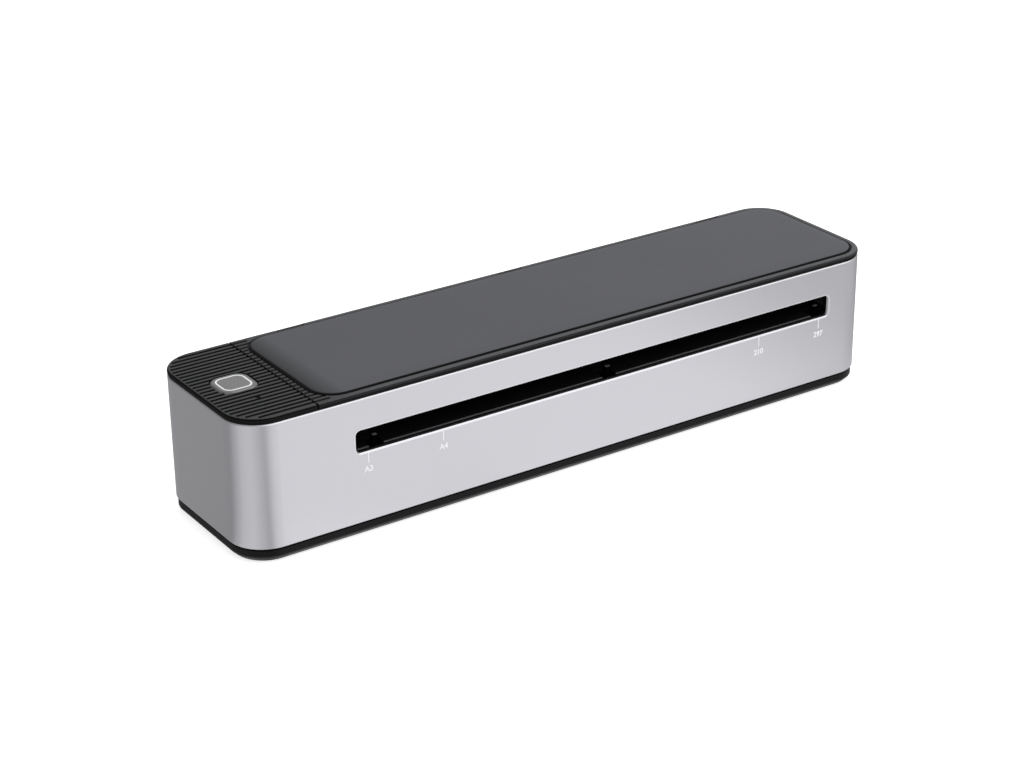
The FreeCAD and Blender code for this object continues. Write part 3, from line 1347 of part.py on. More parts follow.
for item in doc.Objects:
    if "Invalid" in item.State or "Error" in item.State:
        raise RuntimeError(f"{item.Name} of type {item.TypeId} did not build: {item.State}")
    if item.TypeId == "PartDesign::Pocket" and item.Shape.Volume >= item.BaseFeature.Shape.Volume:
        raise RuntimeError(f"{item.Name} in {item.getParentGeoFeatureGroup().Label} cuts nothing")
for item in parts:
    if item.Shape.isNull() or not item.Shape.isValid():
        raise RuntimeError(f"{item.Label} has no valid shape")

os.makedirs("parts", exist_ok=True)
for item in parts:
    item.Shape.exportStep(os.path.join("parts", item.Label + ".step"))
print(len(parts), "sub-parts written")
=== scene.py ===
import json
import math

import bmesh
import bpy
from mathutils import Matrix, Vector, noise


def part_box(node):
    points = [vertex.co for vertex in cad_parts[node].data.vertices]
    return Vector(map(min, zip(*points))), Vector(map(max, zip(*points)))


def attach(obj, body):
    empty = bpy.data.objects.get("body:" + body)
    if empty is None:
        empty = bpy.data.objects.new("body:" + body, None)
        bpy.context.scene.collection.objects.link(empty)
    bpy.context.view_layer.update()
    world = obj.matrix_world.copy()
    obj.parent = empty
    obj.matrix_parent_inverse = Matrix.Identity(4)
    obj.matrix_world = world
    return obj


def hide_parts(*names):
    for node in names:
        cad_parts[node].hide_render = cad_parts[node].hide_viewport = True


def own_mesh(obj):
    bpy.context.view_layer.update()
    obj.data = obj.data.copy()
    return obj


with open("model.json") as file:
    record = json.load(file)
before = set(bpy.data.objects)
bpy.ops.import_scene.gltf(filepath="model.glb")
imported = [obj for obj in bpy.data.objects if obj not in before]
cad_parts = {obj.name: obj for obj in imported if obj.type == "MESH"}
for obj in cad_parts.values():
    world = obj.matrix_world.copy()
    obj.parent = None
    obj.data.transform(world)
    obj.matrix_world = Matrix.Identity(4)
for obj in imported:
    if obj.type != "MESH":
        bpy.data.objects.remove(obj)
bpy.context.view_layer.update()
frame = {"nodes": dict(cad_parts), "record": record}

MM = 0.001
FAR = 1.0                # metres, beyond every piece: the open end of a slice

bl_info = {
    "name": "Desktop thermal printer dressing",
    "version": (1, 0, 0),
    "blender": (4, 5, 0),
    "location": "3D View > Sidebar > Printer",
    "description": "Finishes, soft lid pad, size marks and studio for the printer",
    "category": "Object",
}


# Values that a user would change

def colour_value(name, description, default):
    return bpy.props.FloatVectorProperty(
        name=name, description=description, default=default, size=3, subtype="COLOR", min=0, max=1)


def length_value(name, description, default):
    return bpy.props.FloatProperty(
        name=name, description=description, default=default, min=0, subtype="DISTANCE", unit="LENGTH")


def angle_value(name, description, degrees):
    return bpy.props.FloatProperty(
        name=name, description=description, default=math.radians(degrees), subtype="ANGLE")


def plain_value(name, description, default):
    return bpy.props.FloatProperty(name=name, description=description, default=default)


def count_value(name, description, default, least):
    return bpy.props.IntProperty(name=name, description=description, default=default, min=least)


class PrinterColours(bpy.types.PropertyGroup):
    """Colours of the printer's outer surfaces."""

    silver: colour_value("Sleeve", "Satin silver of the wrapped sleeve", (0.70, 0.695, 0.735))
    edge: colour_value("Sleeve edges", "Bright metal of the sleeve's cut edges", (0.55, 0.55, 0.57))
    black: colour_value("Base", "Black of the base, frame and slot", (0.010, 0.010, 0.011))
    cap: colour_value("Lid", "Dark grey of the lid's rim and ribs", (0.058, 0.0595, 0.063))
    pad: colour_value("Pad", "Slate grey of the soft pad", (0.117, 0.119, 0.130))
    key: colour_value("Button", "Mid grey of the button's face", (0.235, 0.235, 0.24))
    trim: colour_value("Button surround", "Grey of the bevelled surround", (0.22, 0.22, 0.225))
    # Painted shade: near black in grooves, seams, shadow lines, the slot, under the sleeve and on the pad's
    # skirt.
    gap: colour_value("Gaps", "Near black of grooves, seams and shadow lines", (0.004, 0.004, 0.004))
    # Painted light: the lower bevel's lighter grey stands in for light from the floor.
    bevel: colour_value("Base bevel", "Dark grey of the base's lower bevel", (0.060, 0.060, 0.062))
    # Painted highlight: grey glints on the guide's lip and the levers' tips.
    glint_grey: colour_value("Worn lips", "Grey of lips and tips that paper rubs", (0.14, 0.14, 0.145))
    marks: colour_value("Marks", "White of the printed size marks", (0.93, 0.93, 0.95))


class PadSizes(bpy.types.PropertyGroup):
    """Shape of the soft pad on the lid."""

    left_corner: length_value("Left corner radius", "Radius of the two corners beside the ribs", 15.0 * MM)
    right_corner: length_value("Right corner radius", "Radius of the two corners at the far end", 16.2 * MM)
    roll: length_value("Edge roll", "Width over which the pad's edge turns down", 2.4 * MM)
    end_roll: length_value("End roll", "Width over which the end beside the ribs slopes down", 16.0 * MM)
    end_drop: length_value("End drop", "How far the end beside the ribs slopes down", 0.8 * MM)
    unevenness: length_value("Unevenness", "Depth of the slow waves in the foam", 0.1 * MM)
    crown: length_value("Crown", "How far the foam swells towards its middle", 0.6 * MM)
    crown_reach: length_value("Crown reach", "Width of the strip over which the foam swells", 9.0 * MM)
    corner_steps: count_value("Corner steps", "Pieces in each round corner", 20, 4)


class MarkSizes(bpy.types.PropertyGroup):
    """Ticks and numbers under the front slot."""

    tick_width: length_value("Tick width", "Width of a printed tick", 0.5 * MM)
    tick_top: length_value("Tick top", "Height of a tick's upper end", 46.3 * MM)
    tick_low: length_value("Tick foot", "Height of a tick's lower end", 40.6 * MM)
    text_middle: length_value("Text height", "Height of the middle of the numbers", 37.2 * MM)
    text_size: length_value("Text size", "Size of the numbers", 4.4 * MM)
    stroke: length_value("Stroke", "How far the numbers' strokes are made bolder", 0.12 * MM)
    film: length_value("Film", "Thickness of the print", 0.02 * MM)


class SpringSizes(bpy.types.PropertyGroup):
    """The three springs that press the print head down."""

    radius: length_value("Coil radius", "Radius of the wire's middle line", 3.4 * MM)
    wire: length_value("Wire radius", "Half the wire's thickness", 0.25 * MM)
    spacing: length_value("Spacing", "Distance between two springs", 120.0 * MM)
    stroke: length_value("Stroke", "How far the head presses the springs together", 0.8 * MM)
    turns: bpy.props.FloatProperty(name="Turns", description="Turns in each coil", default=3, min=1)
    steps: count_value("Steps", "Pieces in each turn", 20, 6)


class StudioSizes(bpy.types.PropertyGroup):
    """Camera place and light level."""

    azimuth: angle_value("Azimuth", "Camera's side angle", -33.736)
    elevation: angle_value("Elevation", "Camera's angle above the table", 24.497)
    roll: angle_value("Roll", "Camera's turn about its own axis", -0.662)
    place: bpy.props.FloatVectorProperty(
        name="Camera place", description="Where the camera stands", default=(-0.66715, -0.9790, 0.57155),
        subtype="TRANSLATION")
    lens: plain_value("Lens", "Focal length in millimetres", 83.13)
    key_power: plain_value("Key light", "Power of the front light", 9.0)
    top_power: plain_value("Top light", "Power of the overhead light", 6.0)
    world_level: plain_value("World", "Strength of the surrounding light", 0.45)


# Fixed measures

class SlotOutline:
    """The sleeve's slots, seen from the front."""

    middle = (16.1 * MM, 53.25 * MM)
    half = (155.6 * MM, 6.2 * MM)
    corner = 2.8 * MM
    low = middle[1] - half[1]


class Pinhole:
    """The panel's pinhole: its place from the button's middle, and its radius."""

    place = (1.7 * MM, -22.4 * MM)
    radius = 0.9 * MM


# Words of the size marks, each with its place across the front in millimetres
MARKS = (("A3", -132.7), ("A4", -87.9), ("210", 121.1), ("297", 164.6))

# The pad's rings, as shares of the way from its edge to its middle, and the pieces in its four runs
PAD_RINGS = (0, 0.004, 0.011, 0.02, 0.032, 0.045, 0.06, 0.09, 0.14,
             0.2, 0.28, 0.37, 0.47, 0.58, 0.7, 0.82, 0.93, 0.995)
PAD_RUN_PIECES = (72, 18, 72, 18)
PAD_WAVES = 22           # in a metre of foam
WIRE_SIDES = 8           # of the springs' round wire

# Level of the studio's sweep by direction, in degrees
SWEEP = (
    (-180, 0.66), (-165, 0.71), (-145, 0.75), (-122, 0.62), (-105, 0.46), (-88, 0.82), (-65, 0.98),
    (-30, 0.98), (-8, 0.97), (0, 0.80), (7, 0.55), (12, 0.45), (20, 0.60), (40, 0.85), (50, 0.85),
    (57, 0.76), (66, 0.42), (90, 0.38), (124, 0.34), (152, 0.31), (170, 0.52),
)
SWEEP_CENTRE = (-185 * MM, -30 * MM, 0)
# The floor's sweep dims from the near end to the far end
SWEEP_FALL = {"From Min": 0.10, "From Max": 0.30, "To Min": 1.0, "To Max": 0.62}

FLOOR_REACH = 6.0
FLOOR_WHITE = 0.9
FLOOR_GLOW = 0.74
LIGHT_TARGET = Vector((0, 0, 0.04))


def colours():
    """The colours that the panel shows."""
    return bpy.context.scene.printer_colours


def middle_of(node):
    """The middle of a CAD node's box."""
    low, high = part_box(node)
    return (low + high) / 2


# Shader node groups

def shader_group(name, inputs, outputs, build):
    """The named group, built when first asked for. An input with no number is a vector."""
    tree = bpy.data.node_groups.get(name)
    if tree:
        return tree
    tree = bpy.data.node_groups.new(name, "ShaderNodeTree")
    for socket, default in inputs.items():
        kind = "NodeSocketVector" if default is None else "NodeSocketFloat"
        item = tree.interface.new_socket(socket, in_out="INPUT", socket_type=kind)
        if default is not None:
            item.default_value = default
    for socket, kind in outputs.items():
        tree.interface.new_socket(socket, in_out="OUTPUT", socket_type=f"NodeSocket{kind}")
    build(tree, tree.nodes.new("NodeGroupInput").outputs, tree.nodes.new("NodeGroupOutput").inputs)
    return tree


def calculate(tree, operation, first, second=0.0, clamp=False):
    """One step of arithmetic on two numbers or sockets."""
    item = tree.nodes.new("ShaderNodeMath")
    item.operation = operation
    item.use_clamp = clamp
    for socket, value in zip(item.inputs, (first, second)):
        if isinstance(value, (int, float)):
            socket.default_value = value
        else:
            tree.links.new(value, socket)
    return item.outputs[0]


def split_axes(tree, vector):
    """The three coordinates of a vector."""
    item = tree.nodes.new("ShaderNodeSeparateXYZ")
    tree.links.new(vector, item.inputs[0])
    return item.outputs


def bump_node(tree, height, strength, distance):
    """Normal bumped by a height."""
    item = tree.nodes.new("ShaderNodeBump")
    item.inputs["Distance"].default_value = distance
    tree.links.new(height, item.inputs["Height"])
    tree.links.new(strength, item.inputs["Strength"])
    return item.outputs["Normal"]


def grain_group():
    """Fine noise, slow clouds and a bumped normal from a vector."""

    def build(tree, start, end):
        for name, detail in (("Grain", 3.0), ("Clouds", 2.0)):
            texture = tree.nodes.new("ShaderNodeTexNoise")
            texture.inputs["Detail"].default_value = detail
            tree.links.new(start["Vector"], texture.inputs["Vector"])
            tree.links.new(start[name], texture.inputs["Scale"])
            tree.links.new(texture.outputs["Fac"], end[name])
            if name == "Grain":
                normal = bump_node(tree, texture.outputs["Fac"], start["Depth"], 0.1 * MM)
        tree.links.new(normal, end["Normal"])

    inputs = {"Vector": None, "Grain": 900.0, "Clouds": 12.0, "Depth": 0.1}
    outputs = {"Grain": "Float", "Clouds": "Float", "Normal": "Vector"}
    return shader_group("surface grain", inputs, outputs, build)


def hide_group():
    """Small soft cells with creases, as on leather or coated foam."""

    def build(tree, start, end):
        cells = tree.nodes.new("ShaderNodeTexVoronoi")
        cells.feature = "DISTANCE_TO_EDGE"
        crease = tree.nodes.new("ShaderNodeMapRange")
        crease.inputs["From Max"].default_value = 0.25
        tree.links.new(start["Vector"], cells.inputs["Vector"])
        tree.links.new(start["Cells"], cells.inputs["Scale"])
        tree.links.new(cells.outputs["Distance"], crease.inputs["Value"])
        tree.links.new(bump_node(tree, crease.outputs["Result"], start["Depth"], 0.12 * MM), end["Normal"])

    inputs = {"Vector": None, "Cells": 900.0, "Depth": 0.2}
    return shader_group("hide grain", inputs, {"Normal": "Vector"}, build)


def cut_edge_group():
    """Mask of the sleeve's cut edges: where it leans up or down, and the slot's two ends."""

    def build(tree, start, end):
        def size_along(vector, axis):
            return calculate(tree, "ABSOLUTE", split_axes(tree, start[vector])[axis])

        leaning = calculate(tree, "GREATER_THAN", size_along("Normal", "Z"), start["Least lean"])
        turned = calculate(tree, "GREATER_THAN", size_along("Normal", "X"), start["Least lean"])
        inner = calculate(tree, "LESS_THAN", size_along("Vector", "X"), start["Reach"])
        ends = calculate(tree, "MULTIPLY", turned, inner)
        tree.links.new(calculate(tree, "MAXIMUM", leaning, ends), end["Mask"])

    inputs = {"Normal": None, "Vector": None, "Reach": 0.18, "Least lean": 0.3}
    return shader_group("cut edge", inputs, {"Mask": "Float"}, build)


def slice_group(axis):
    """Mask of the slice between two places on one axis, with blurred ends."""

    def build(tree, start, end):
        place = split_axes(tree, start["Vector"])[axis]
        above = calculate(tree, "SUBTRACT", place, start["Low"])
        below = calculate(tree, "SUBTRACT", start["High"], place)
        share = calculate(tree, "DIVIDE", calculate(tree, "MINIMUM", above, below), start["Blur"])
        tree.links.new(calculate(tree, "ADD", share, 0.5, clamp=True), end["Mask"])

    inputs = {"Vector": None, "Low": 0.0, "High": 1.0, "Blur": 0.0001}
    return shader_group(f"slice along {axis}", inputs, {"Mask": "Float"}, build)


def box_distance_group():
    """Distance from the outline of an upright rounded box, less than 0 inside it."""

    def build(tree, start, end):
        sides = []
        for place, half in (("Across", "Half width"), ("Along", "Half height")):
            reach = calculate(tree, "SUBTRACT", start[half], start["Corner"])
            beyond = calculate(tree, "SUBTRACT", calculate(tree, "ABSOLUTE", start[place]), reach)
            outside = calculate(tree, "MAXIMUM", beyond, 0.0)
            sides.append(calculate(tree, "MULTIPLY", outside, outside))
        distance = calculate(tree, "SQRT", calculate(tree, "ADD", *sides))
        tree.links.new(calculate(tree, "SUBTRACT", distance, start["Corner"]), end["Distance"])

    inputs = {"Across": 0.0, "Along": 0.0, "Half width": 0.1, "Half height": 0.1, "Corner": 0.0}
    return shader_group("rounded box distance", inputs, {"Distance": "Float"}, build)


def sweep_group():
    """Level of the studio's sweep by the direction of a vector."""

    def build(tree, start, end):
        axes = split_axes(tree, start["Vector"])
        turn = tree.nodes.new("ShaderNodeMapRange")
        turn.inputs["From Min"].default_value = -math.pi
        turn.inputs["From Max"].default_value = math.pi
        ramp = tree.nodes.new("ShaderNodeValToRGB")
        ramp.color_ramp.interpolation = "EASE"
        tree.links.new(calculate(tree, "ARCTAN2", axes["Y"], axes["X"]), turn.inputs["Value"])
        tree.links.new(turn.outputs["Result"], ramp.inputs["Fac"])
        tree.links.new(ramp.outputs["Color"], end["Level"])
        stops = ramp.color_ramp.elements
        while len(stops) > 1:
            stops.remove(stops[-1])
        for degrees, level in SWEEP:
            share = (degrees + 180) / 360
            stop = stops[0] if degrees == SWEEP[0][0] else stops.new(share)
            stop.position = share
            stop.color = (level, level, level, 1)

    return shader_group("studio sweep", {"Vector": None}, {"Level": "Color"}, build)


# Materials

def shade(colour, factor=1.0):
    """A colour made darker or lighter, with full alpha."""
    return tuple(min(channel * factor, 1) for channel in colour[:3]) + (1,)


def own_place(material):
    """Coordinates and normal of the piece that wears the material."""
    return next(item for item in material.node_tree.nodes if item.type == "TEX_COORD").outputs


def group_node(material, tree, values=()):
    """A group in a material, with its own values."""
    item = material.node_tree.nodes.new("ShaderNodeGroup")
    item.node_tree = tree
    for socket, value in values:
        item.inputs[socket].default_value = value
    return item


def finish(name, colour, roughness, metallic=0.0, grain=1500, clouds=10, depth=0.12,
           spread=0.10, rough_spread=0.06, stretch=(1, 1, 1), **shader_values):
    """Material whose colour, roughness and bump come from the surface grain group."""
    material = bpy.data.materials.new(name)
    material.use_nodes = True
    nodes, link = material.node_tree.nodes, material.node_tree.links.new
    shader = nodes["Principled BSDF"]
    place = nodes.new("ShaderNodeTexCoord")
    mapping = nodes.new("ShaderNodeMapping")
    mapping.inputs["Scale"].default_value = stretch
    texture = group_node(material, grain_group(), (("Grain", grain), ("Clouds", clouds), ("Depth", depth)))
    tint = nodes.new("ShaderNodeMix")
    tint.data_type = "RGBA"
    tint.inputs["A"].default_value = shade(colour, 1 - spread)
    tint.inputs["B"].default_value = shade(colour, 1 + spread)
    gloss = nodes.new("ShaderNodeMapRange")
    gloss.inputs["To Min"].default_value = roughness - rough_spread
    gloss.inputs["To Max"].default_value = roughness + rough_spread
    link(place.outputs["Object"], mapping.inputs["Vector"])
    link(mapping.outputs["Vector"], texture.inputs["Vector"])
    link(texture.outputs["Clouds"], tint.inputs["Factor"])
    link(tint.outputs["Result"], shader.inputs["Base Color"])
    link(texture.outputs["Grain"], gloss.inputs["Value"])
    link(gloss.outputs["Result"], shader.inputs["Roughness"])
    link(texture.outputs["Normal"], shader.inputs["Normal"])
    shader.inputs["Metallic"].default_value = metallic
    for socket, value in shader_values.items():
        shader.inputs[socket.replace("_", " ")].default_value = value
    return material


def tint_where(material, mask, colour, roughness, metallic=0.0):
    """A second colour, roughness and metal share wherever the mask is 1."""
    nodes, link = material.node_tree.nodes, material.node_tree.links.new
    shader = nodes["Principled BSDF"]
    for name, value in (("Base Color", shade(colour)), ("Roughness", roughness), ("Metallic", metallic)):
        socket = shader.inputs[name]
        mix = nodes.new("ShaderNodeMix")
        mix.data_type = "RGBA" if name == "Base Color" else "FLOAT"
        factor, under, over = [item for item in mix.inputs if item.enabled]
        if socket.is_linked:
            link(socket.links[0].from_socket, under)
        else:
            under.default_value = socket.default_value
        over.default_value = value
        link(mask, factor)
        link(next(item for item in mix.outputs if item.enabled), socket)


def slice_mask(material, axis, low, high, blur):
    """Mask of a slice of the piece, from its own coordinates."""
    cut = group_node(material, slice_group(axis), (("Low", low), ("High", high), ("Blur", blur)))
    material.node_tree.links.new(own_place(material)["Object"], cut.inputs["Vector"])
    return cut.outputs["Mask"]


def box_mask(material, axes, centre, half, corner, reach, blur):
    """Mask of a rounded box seen along one axis, widened by a reach."""
    tree = material.node_tree
    places = split_axes(tree, own_place(material)["Object"])
    values = (("Half width", half[0]), ("Half height", half[1]), ("Corner", corner))
    away = group_node(material, box_distance_group(), values)
    for socket, axis, middle in zip(("Across", "Along"), axes, centre):
        tree.links.new(calculate(tree, "SUBTRACT", places[axis], middle), away.inputs[socket])
    left = calculate(tree, "SUBTRACT", reach, away.outputs["Distance"])
    return calculate(tree, "ADD", calculate(tree, "DIVIDE", left, blur), 0.5, clamp=True)


def sleeve_finish():
    """Satin metal with a fine horizontal grain, bright cut edges, a painted highlight of lighter silver
    round the slots and painted highlights of diffuse white on their upper chamfers.
    """
    silver = colours().silver
    roughness, metal = 0.30, 0.92
    slot_highlight_reach, slot_highlight_blur = 0.90 * MM, 0.12 * MM
    chamfer_reach, chamfer_blur = 0.65 * MM, 0.1 * MM
    chamfer_highlight_white = (0.95, 0.95, 0.97)
    material = finish("satin silver", silver, roughness, metal, grain=2600, clouds=6, depth=0.03,
                      spread=0.012, rough_spread=0.04, stretch=(0.12, 0.12, 1))
    link = material.node_tree.links.new
    edge = group_node(material, cut_edge_group())
    link(own_place(material)["Normal"], edge.inputs["Normal"])
    link(own_place(material)["Object"], edge.inputs["Vector"])
    outline = ("XZ", SlotOutline.middle, SlotOutline.half, SlotOutline.corner)
    # Painted highlight: the silver round the slots, their chamfer included, made lighter.
    ring = box_mask(material, *outline, slot_highlight_reach, slot_highlight_blur)
    tint_where(material, ring, shade(silver, 1.35), roughness, metal)
    tint_where(material, edge.outputs["Mask"], colours().edge, 0.36, 1.0)
    # Painted highlight: diffuse white on the slots' chamfers, all but the lower edge.
    chamfer = box_mask(material, *outline, chamfer_reach, chamfer_blur)
    upper = slice_mask(material, "Z", SlotOutline.low + 1 * MM, FAR, 1 * MM)
    upper_chamfer_highlight = calculate(material.node_tree, "MULTIPLY", chamfer, upper)
    tint_where(material, upper_chamfer_highlight, chamfer_highlight_white, 0.5)
    return material


def cap_finish(name, painted_tone, depth=0.18 * MM, blur=0.1 * MM):
    """Ribbed plastic at a painted tone of light; painted shade towards the ribbed end, and near black
    painted shade below a depth, along the seam and at the pinhole.
    """
    cap = colours().cap
    rib_shade_reach, rib_shade_blur = 20 * MM, 30 * MM
    seam_reach, seam_blur = 0.3 * MM, 0.1 * MM
    hole_reach, hole_blur = 0.6 * MM, 0.2 * MM
    material = finish(name, shade(cap, painted_tone), 0.42, grain=2400, depth=0.25, Specular_IOR_Level=0.2)
    tree = material.node_tree
    panel, lid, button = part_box("control_panel"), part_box("lid_shell"), middle_of("power_button")
    # Painted shade: the ribbed end of the lid, and the whole panel, drawn back down to a darker tone.
    ribs = slice_mask(material, "X", -FAR, lid[0].x + rib_shade_reach, rib_shade_blur)
    tint_where(material, ribs, shade(cap, 0.78), 0.42)
    # Painted shade: near black in the grooves and recesses below the depth, in the seam between panel and
    # lid, and in the pinhole.
    low = slice_mask(material, "Z", -FAR, panel[1].z - depth, blur)
    seam = slice_mask(material, "X", panel[1].x - seam_reach, lid[0].x + seam_reach, seam_blur)
    hole_middle = (button.x + Pinhole.place[0], button.y + Pinhole.place[1])
    pinhole = box_mask(material, "XY", hole_middle, (Pinhole.radius, Pinhole.radius), Pinhole.radius,
                       hole_reach, hole_blur)
    dark = calculate(tree, "MAXIMUM", calculate(tree, "MAXIMUM", low, seam), pinhole)
    tint_where(material, dark, colours().gap, 0.75)
    return material


def base_finish():
    """Base tray: near black painted shade under the sleeve's overhang, and a lighter grey painted on the
    lower bevel as light from the floor.
    """
    gap_shade_height, bevel_light_height, blur = 0.9 * MM, 3.2 * MM, 0.3 * MM
    material = finish("base plastic", shade(colours().black, 1.2), 0.42, grain=2200, depth=0.15,
                      Specular_IOR_Level=0.1)
    # Painted shade under the sleeve's overhang.
    gap = slice_mask(material, "Z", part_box("outer_sleeve")[0].z - gap_shade_height, FAR, blur)
    tint_where(material, gap, colours().gap, 0.8)
    # Painted light: lighter grey on the lower bevel, which faces the floor.
    bevel = slice_mask(material, "Z", -FAR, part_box("base_tray")[0].z + bevel_light_height, blur)
    tint_where(material, bevel, colours().bevel, 0.4)
    return material


def slot_finish():
    """The bezels' black plastic, made near black with painted shade so that the slot looks shaded inside."""
    return finish("slot black", colours().gap, 0.6, grain=2200, Specular_IOR_Level=0.12)


def guide_finish():
    """Black paper guide with a grey painted highlight along its front lip."""
    lip_back, lip_depth, blur = 1 * MM, 0.35 * MM, 0.2 * MM
    material = slot_finish()
    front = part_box("lower_guide_front")[0].y
    # Painted highlight: a grey band along the lip's edge.
    lip = slice_mask(material, "Y", front - lip_back, front + lip_depth, blur)
    tint_where(material, lip, colours().glint_grey, 0.35)
    return material


def lever_finish():
    """Lever made darker than the black plastic as painted shade, with a grey painted highlight on its tip.
    """
    tip_glint_height, blur = 0.3 * MM, 0.15 * MM
    # Painted shade: darker than the black plastic, so that the lever sinks into the slot's shade.
    material = finish("sensor lever", shade(colours().gap, 0.4), 0.8, spread=0.05, Specular_IOR_Level=0.0)
    # Painted highlight: a grey glint on the lever's top.
    tip = slice_mask(material, "Z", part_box("sensor_lever_centre")[1].z - tip_glint_height, FAR, blur)
    tint_where(material, tip, colours().glint_grey, 0.4)
    return material


def pad_finish():
    """Soft coated pad: fine cells, painted shade on its sloping end, near black painted shade on its skirt,
    and a faint sheen.
    """
    slope_shade_reach, slope_shade_blur = 7 * MM, 15 * MM
    skirt_shade_height, skirt_shade_blur = 0.5 * MM, 0.2 * MM
    material = finish("soft pad", colours().pad, 0.55, clouds=14, spread=0.05,
                      Sheen_Weight=0.05, Sheen_Roughness=0.5, Specular_IOR_Level=0.1)
    link = material.node_tree.links.new
    hide = group_node(material, hide_group(), (("Cells", 1300), ("Depth", 0.10)))
    link(own_place(material)["Object"], hide.inputs["Vector"])
    link(hide.outputs["Normal"], material.node_tree.nodes["Principled BSDF"].inputs["Normal"])
    # Painted shade: darker towards the end beside the ribs, where the foam slopes away from the light.
    slope_shade = slice_mask(material, "X", -FAR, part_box("lid_pad")[0].x + slope_shade_reach, slope_shade_blur)
    tint_where(material, slope_shade, shade(colours().pad, 0.30), 0.6)
    # Painted shade: near black where the pad dips below the lid's rim into its groove.
    skirt = slice_mask(material, "Z", -FAR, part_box("lid_shell")[1].z + skirt_shade_height, skirt_shade_blur)
    tint_where(material, skirt, colours().gap, 0.9)
    return material


def circuit_finish():
    """Green lacquered board with a faint pattern of tracks."""
    green = (0.02, 0.11, 0.05)
    material = finish("circuit board", green, 0.35, grain=700, spread=0.1)
    nodes, link = material.node_tree.nodes, material.node_tree.links.new
    tracks = nodes.new("ShaderNodeTexBrick")
    tracks.inputs["Scale"].default_value = 120
    tracks.inputs["Mortar Size"].default_value = 0.03
    tracks.inputs["Color1"].default_value = shade(green)
    tracks.inputs["Color2"].default_value = (0.02, 0.13, 0.06, 1)
    tracks.inputs["Mortar"].default_value = (0.10, 0.25, 0.08, 1)
    link(own_place(material)["Object"], tracks.inputs["Vector"])
    link(tracks.outputs["Color"], nodes["Principled BSDF"].inputs["Base Color"])
    return material


def glow(material, strength):
    """Lets a material shine a little by itself."""
    shader = material.node_tree.nodes["Principled BSDF"]
    shader.inputs["Emission Color"].default_value = (1, 1, 1, 1)
    shader.inputs["Emission Strength"].default_value = strength
    return material


FINISHES = {
    "silver_shell": sleeve_finish,
    "black_plastic": lambda: finish("black plastic", colours().black, 0.45, grain=2200, depth=0.15,
                                    Specular_IOR_Level=0.25),
    # The panel is a shaded copy of the lid's plastic: painted shade.
    "lid_plastic": lambda: cap_finish("ribbed plastic", 0.85),
    "soft_pad": pad_finish,
    "rubber": lambda: finish("rubber", (0.035, 0.035, 0.036), 0.6, grain=1800, depth=0.3),
    "steel": lambda: finish("ground steel", (0.55, 0.55, 0.56), 0.3, 1.0, stretch=(0.1, 1, 1)),
    "zinc_sheet": lambda: finish("zinc plated sheet", (0.45, 0.46, 0.47), 0.42, 0.9, grain=400, spread=0.15),
    "gear_plastic": lambda: finish("gear nylon", (0.74, 0.72, 0.65), 0.45, spread=0.04),
    "motor_can": lambda: finish("motor can", (0.08, 0.08, 0.085), 0.35, 0.6),
    "circuit": circuit_finish,
    "light_guide": lambda: glow(finish("light guide", (0.85, 0.86, 0.88), 0.3, spread=0.02), 0.2),
    "button_face": lambda: finish("button face", colours().key, 0.45, grain=2600, depth=0.2),
    "button_trim": lambda: finish("button surround", colours().trim, 0.33, 0.3, grain=2600, depth=0.1),
    "heat_sink": lambda: finish("extruded aluminium", (0.62, 0.63, 0.64), 0.35, 1.0, stretch=(0.05, 1, 1)),
    "ceramic": lambda: finish("glazed ceramic", (0.8, 0.79, 0.74), 0.15, spread=0.02, Coat_Weight=0.4),
    "brass_bush": lambda: finish("sintered brass", (0.62, 0.45, 0.2), 0.4, 1.0, grain=1200, depth=0.3),
    "battery_wrap": lambda: finish("battery wrap", (0.04, 0.13, 0.35), 0.3, spread=0.05, Coat_Weight=0.3),
    "magnet": lambda: finish("plated magnet", (0.7, 0.7, 0.71), 0.2, 1.0),
}


def coat(node, material):
    """Gives a CAD node one material."""
    mesh = frame["nodes"][node].data
    mesh.materials.clear()
    mesh.materials.append(material)


def dress(slots):
    """Gives every CAD node of these slots its finish."""
    made = {name: FINISHES[name]() for name in slots}
    for part in frame["record"]["subparts"]:
        if part["material_slot"] in made:
            coat(part["node"], made[part["material_slot"]])


# Pieces

def settle(piece, body):
    """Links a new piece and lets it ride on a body."""
    bpy.context.scene.collection.objects.link(piece)
    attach(piece, body)
    return piece


def mesh_piece(name, build, material):
    """A closed piece from mesh code, with its faces outwards."""
    mesh = bpy.data.meshes.new(name)
    work = bmesh.new()
    build(work)
    bmesh.ops.remove_doubles(work, verts=work.verts, dist=1e-6)
    bmesh.ops.recalc_face_normals(work, faces=work.faces)
    work.to_mesh(mesh)
    work.free()
    mesh.materials.append(material)
    return bpy.data.objects.new(name, mesh)


def plain_mesh(piece, name):
    """The evaluated form of a piece as a mesh object of its own."""
    bpy.context.scene.collection.objects.link(piece)
    bpy.context.view_layer.update()
    evaluated = piece.evaluated_get(bpy.context.evaluated_depsgraph_get())
    mesh = bpy.data.meshes.new_from_object(evaluated)
    mesh.name = name
    bpy.data.objects.remove(piece)
    return bpy.data.objects.new(name, mesh)


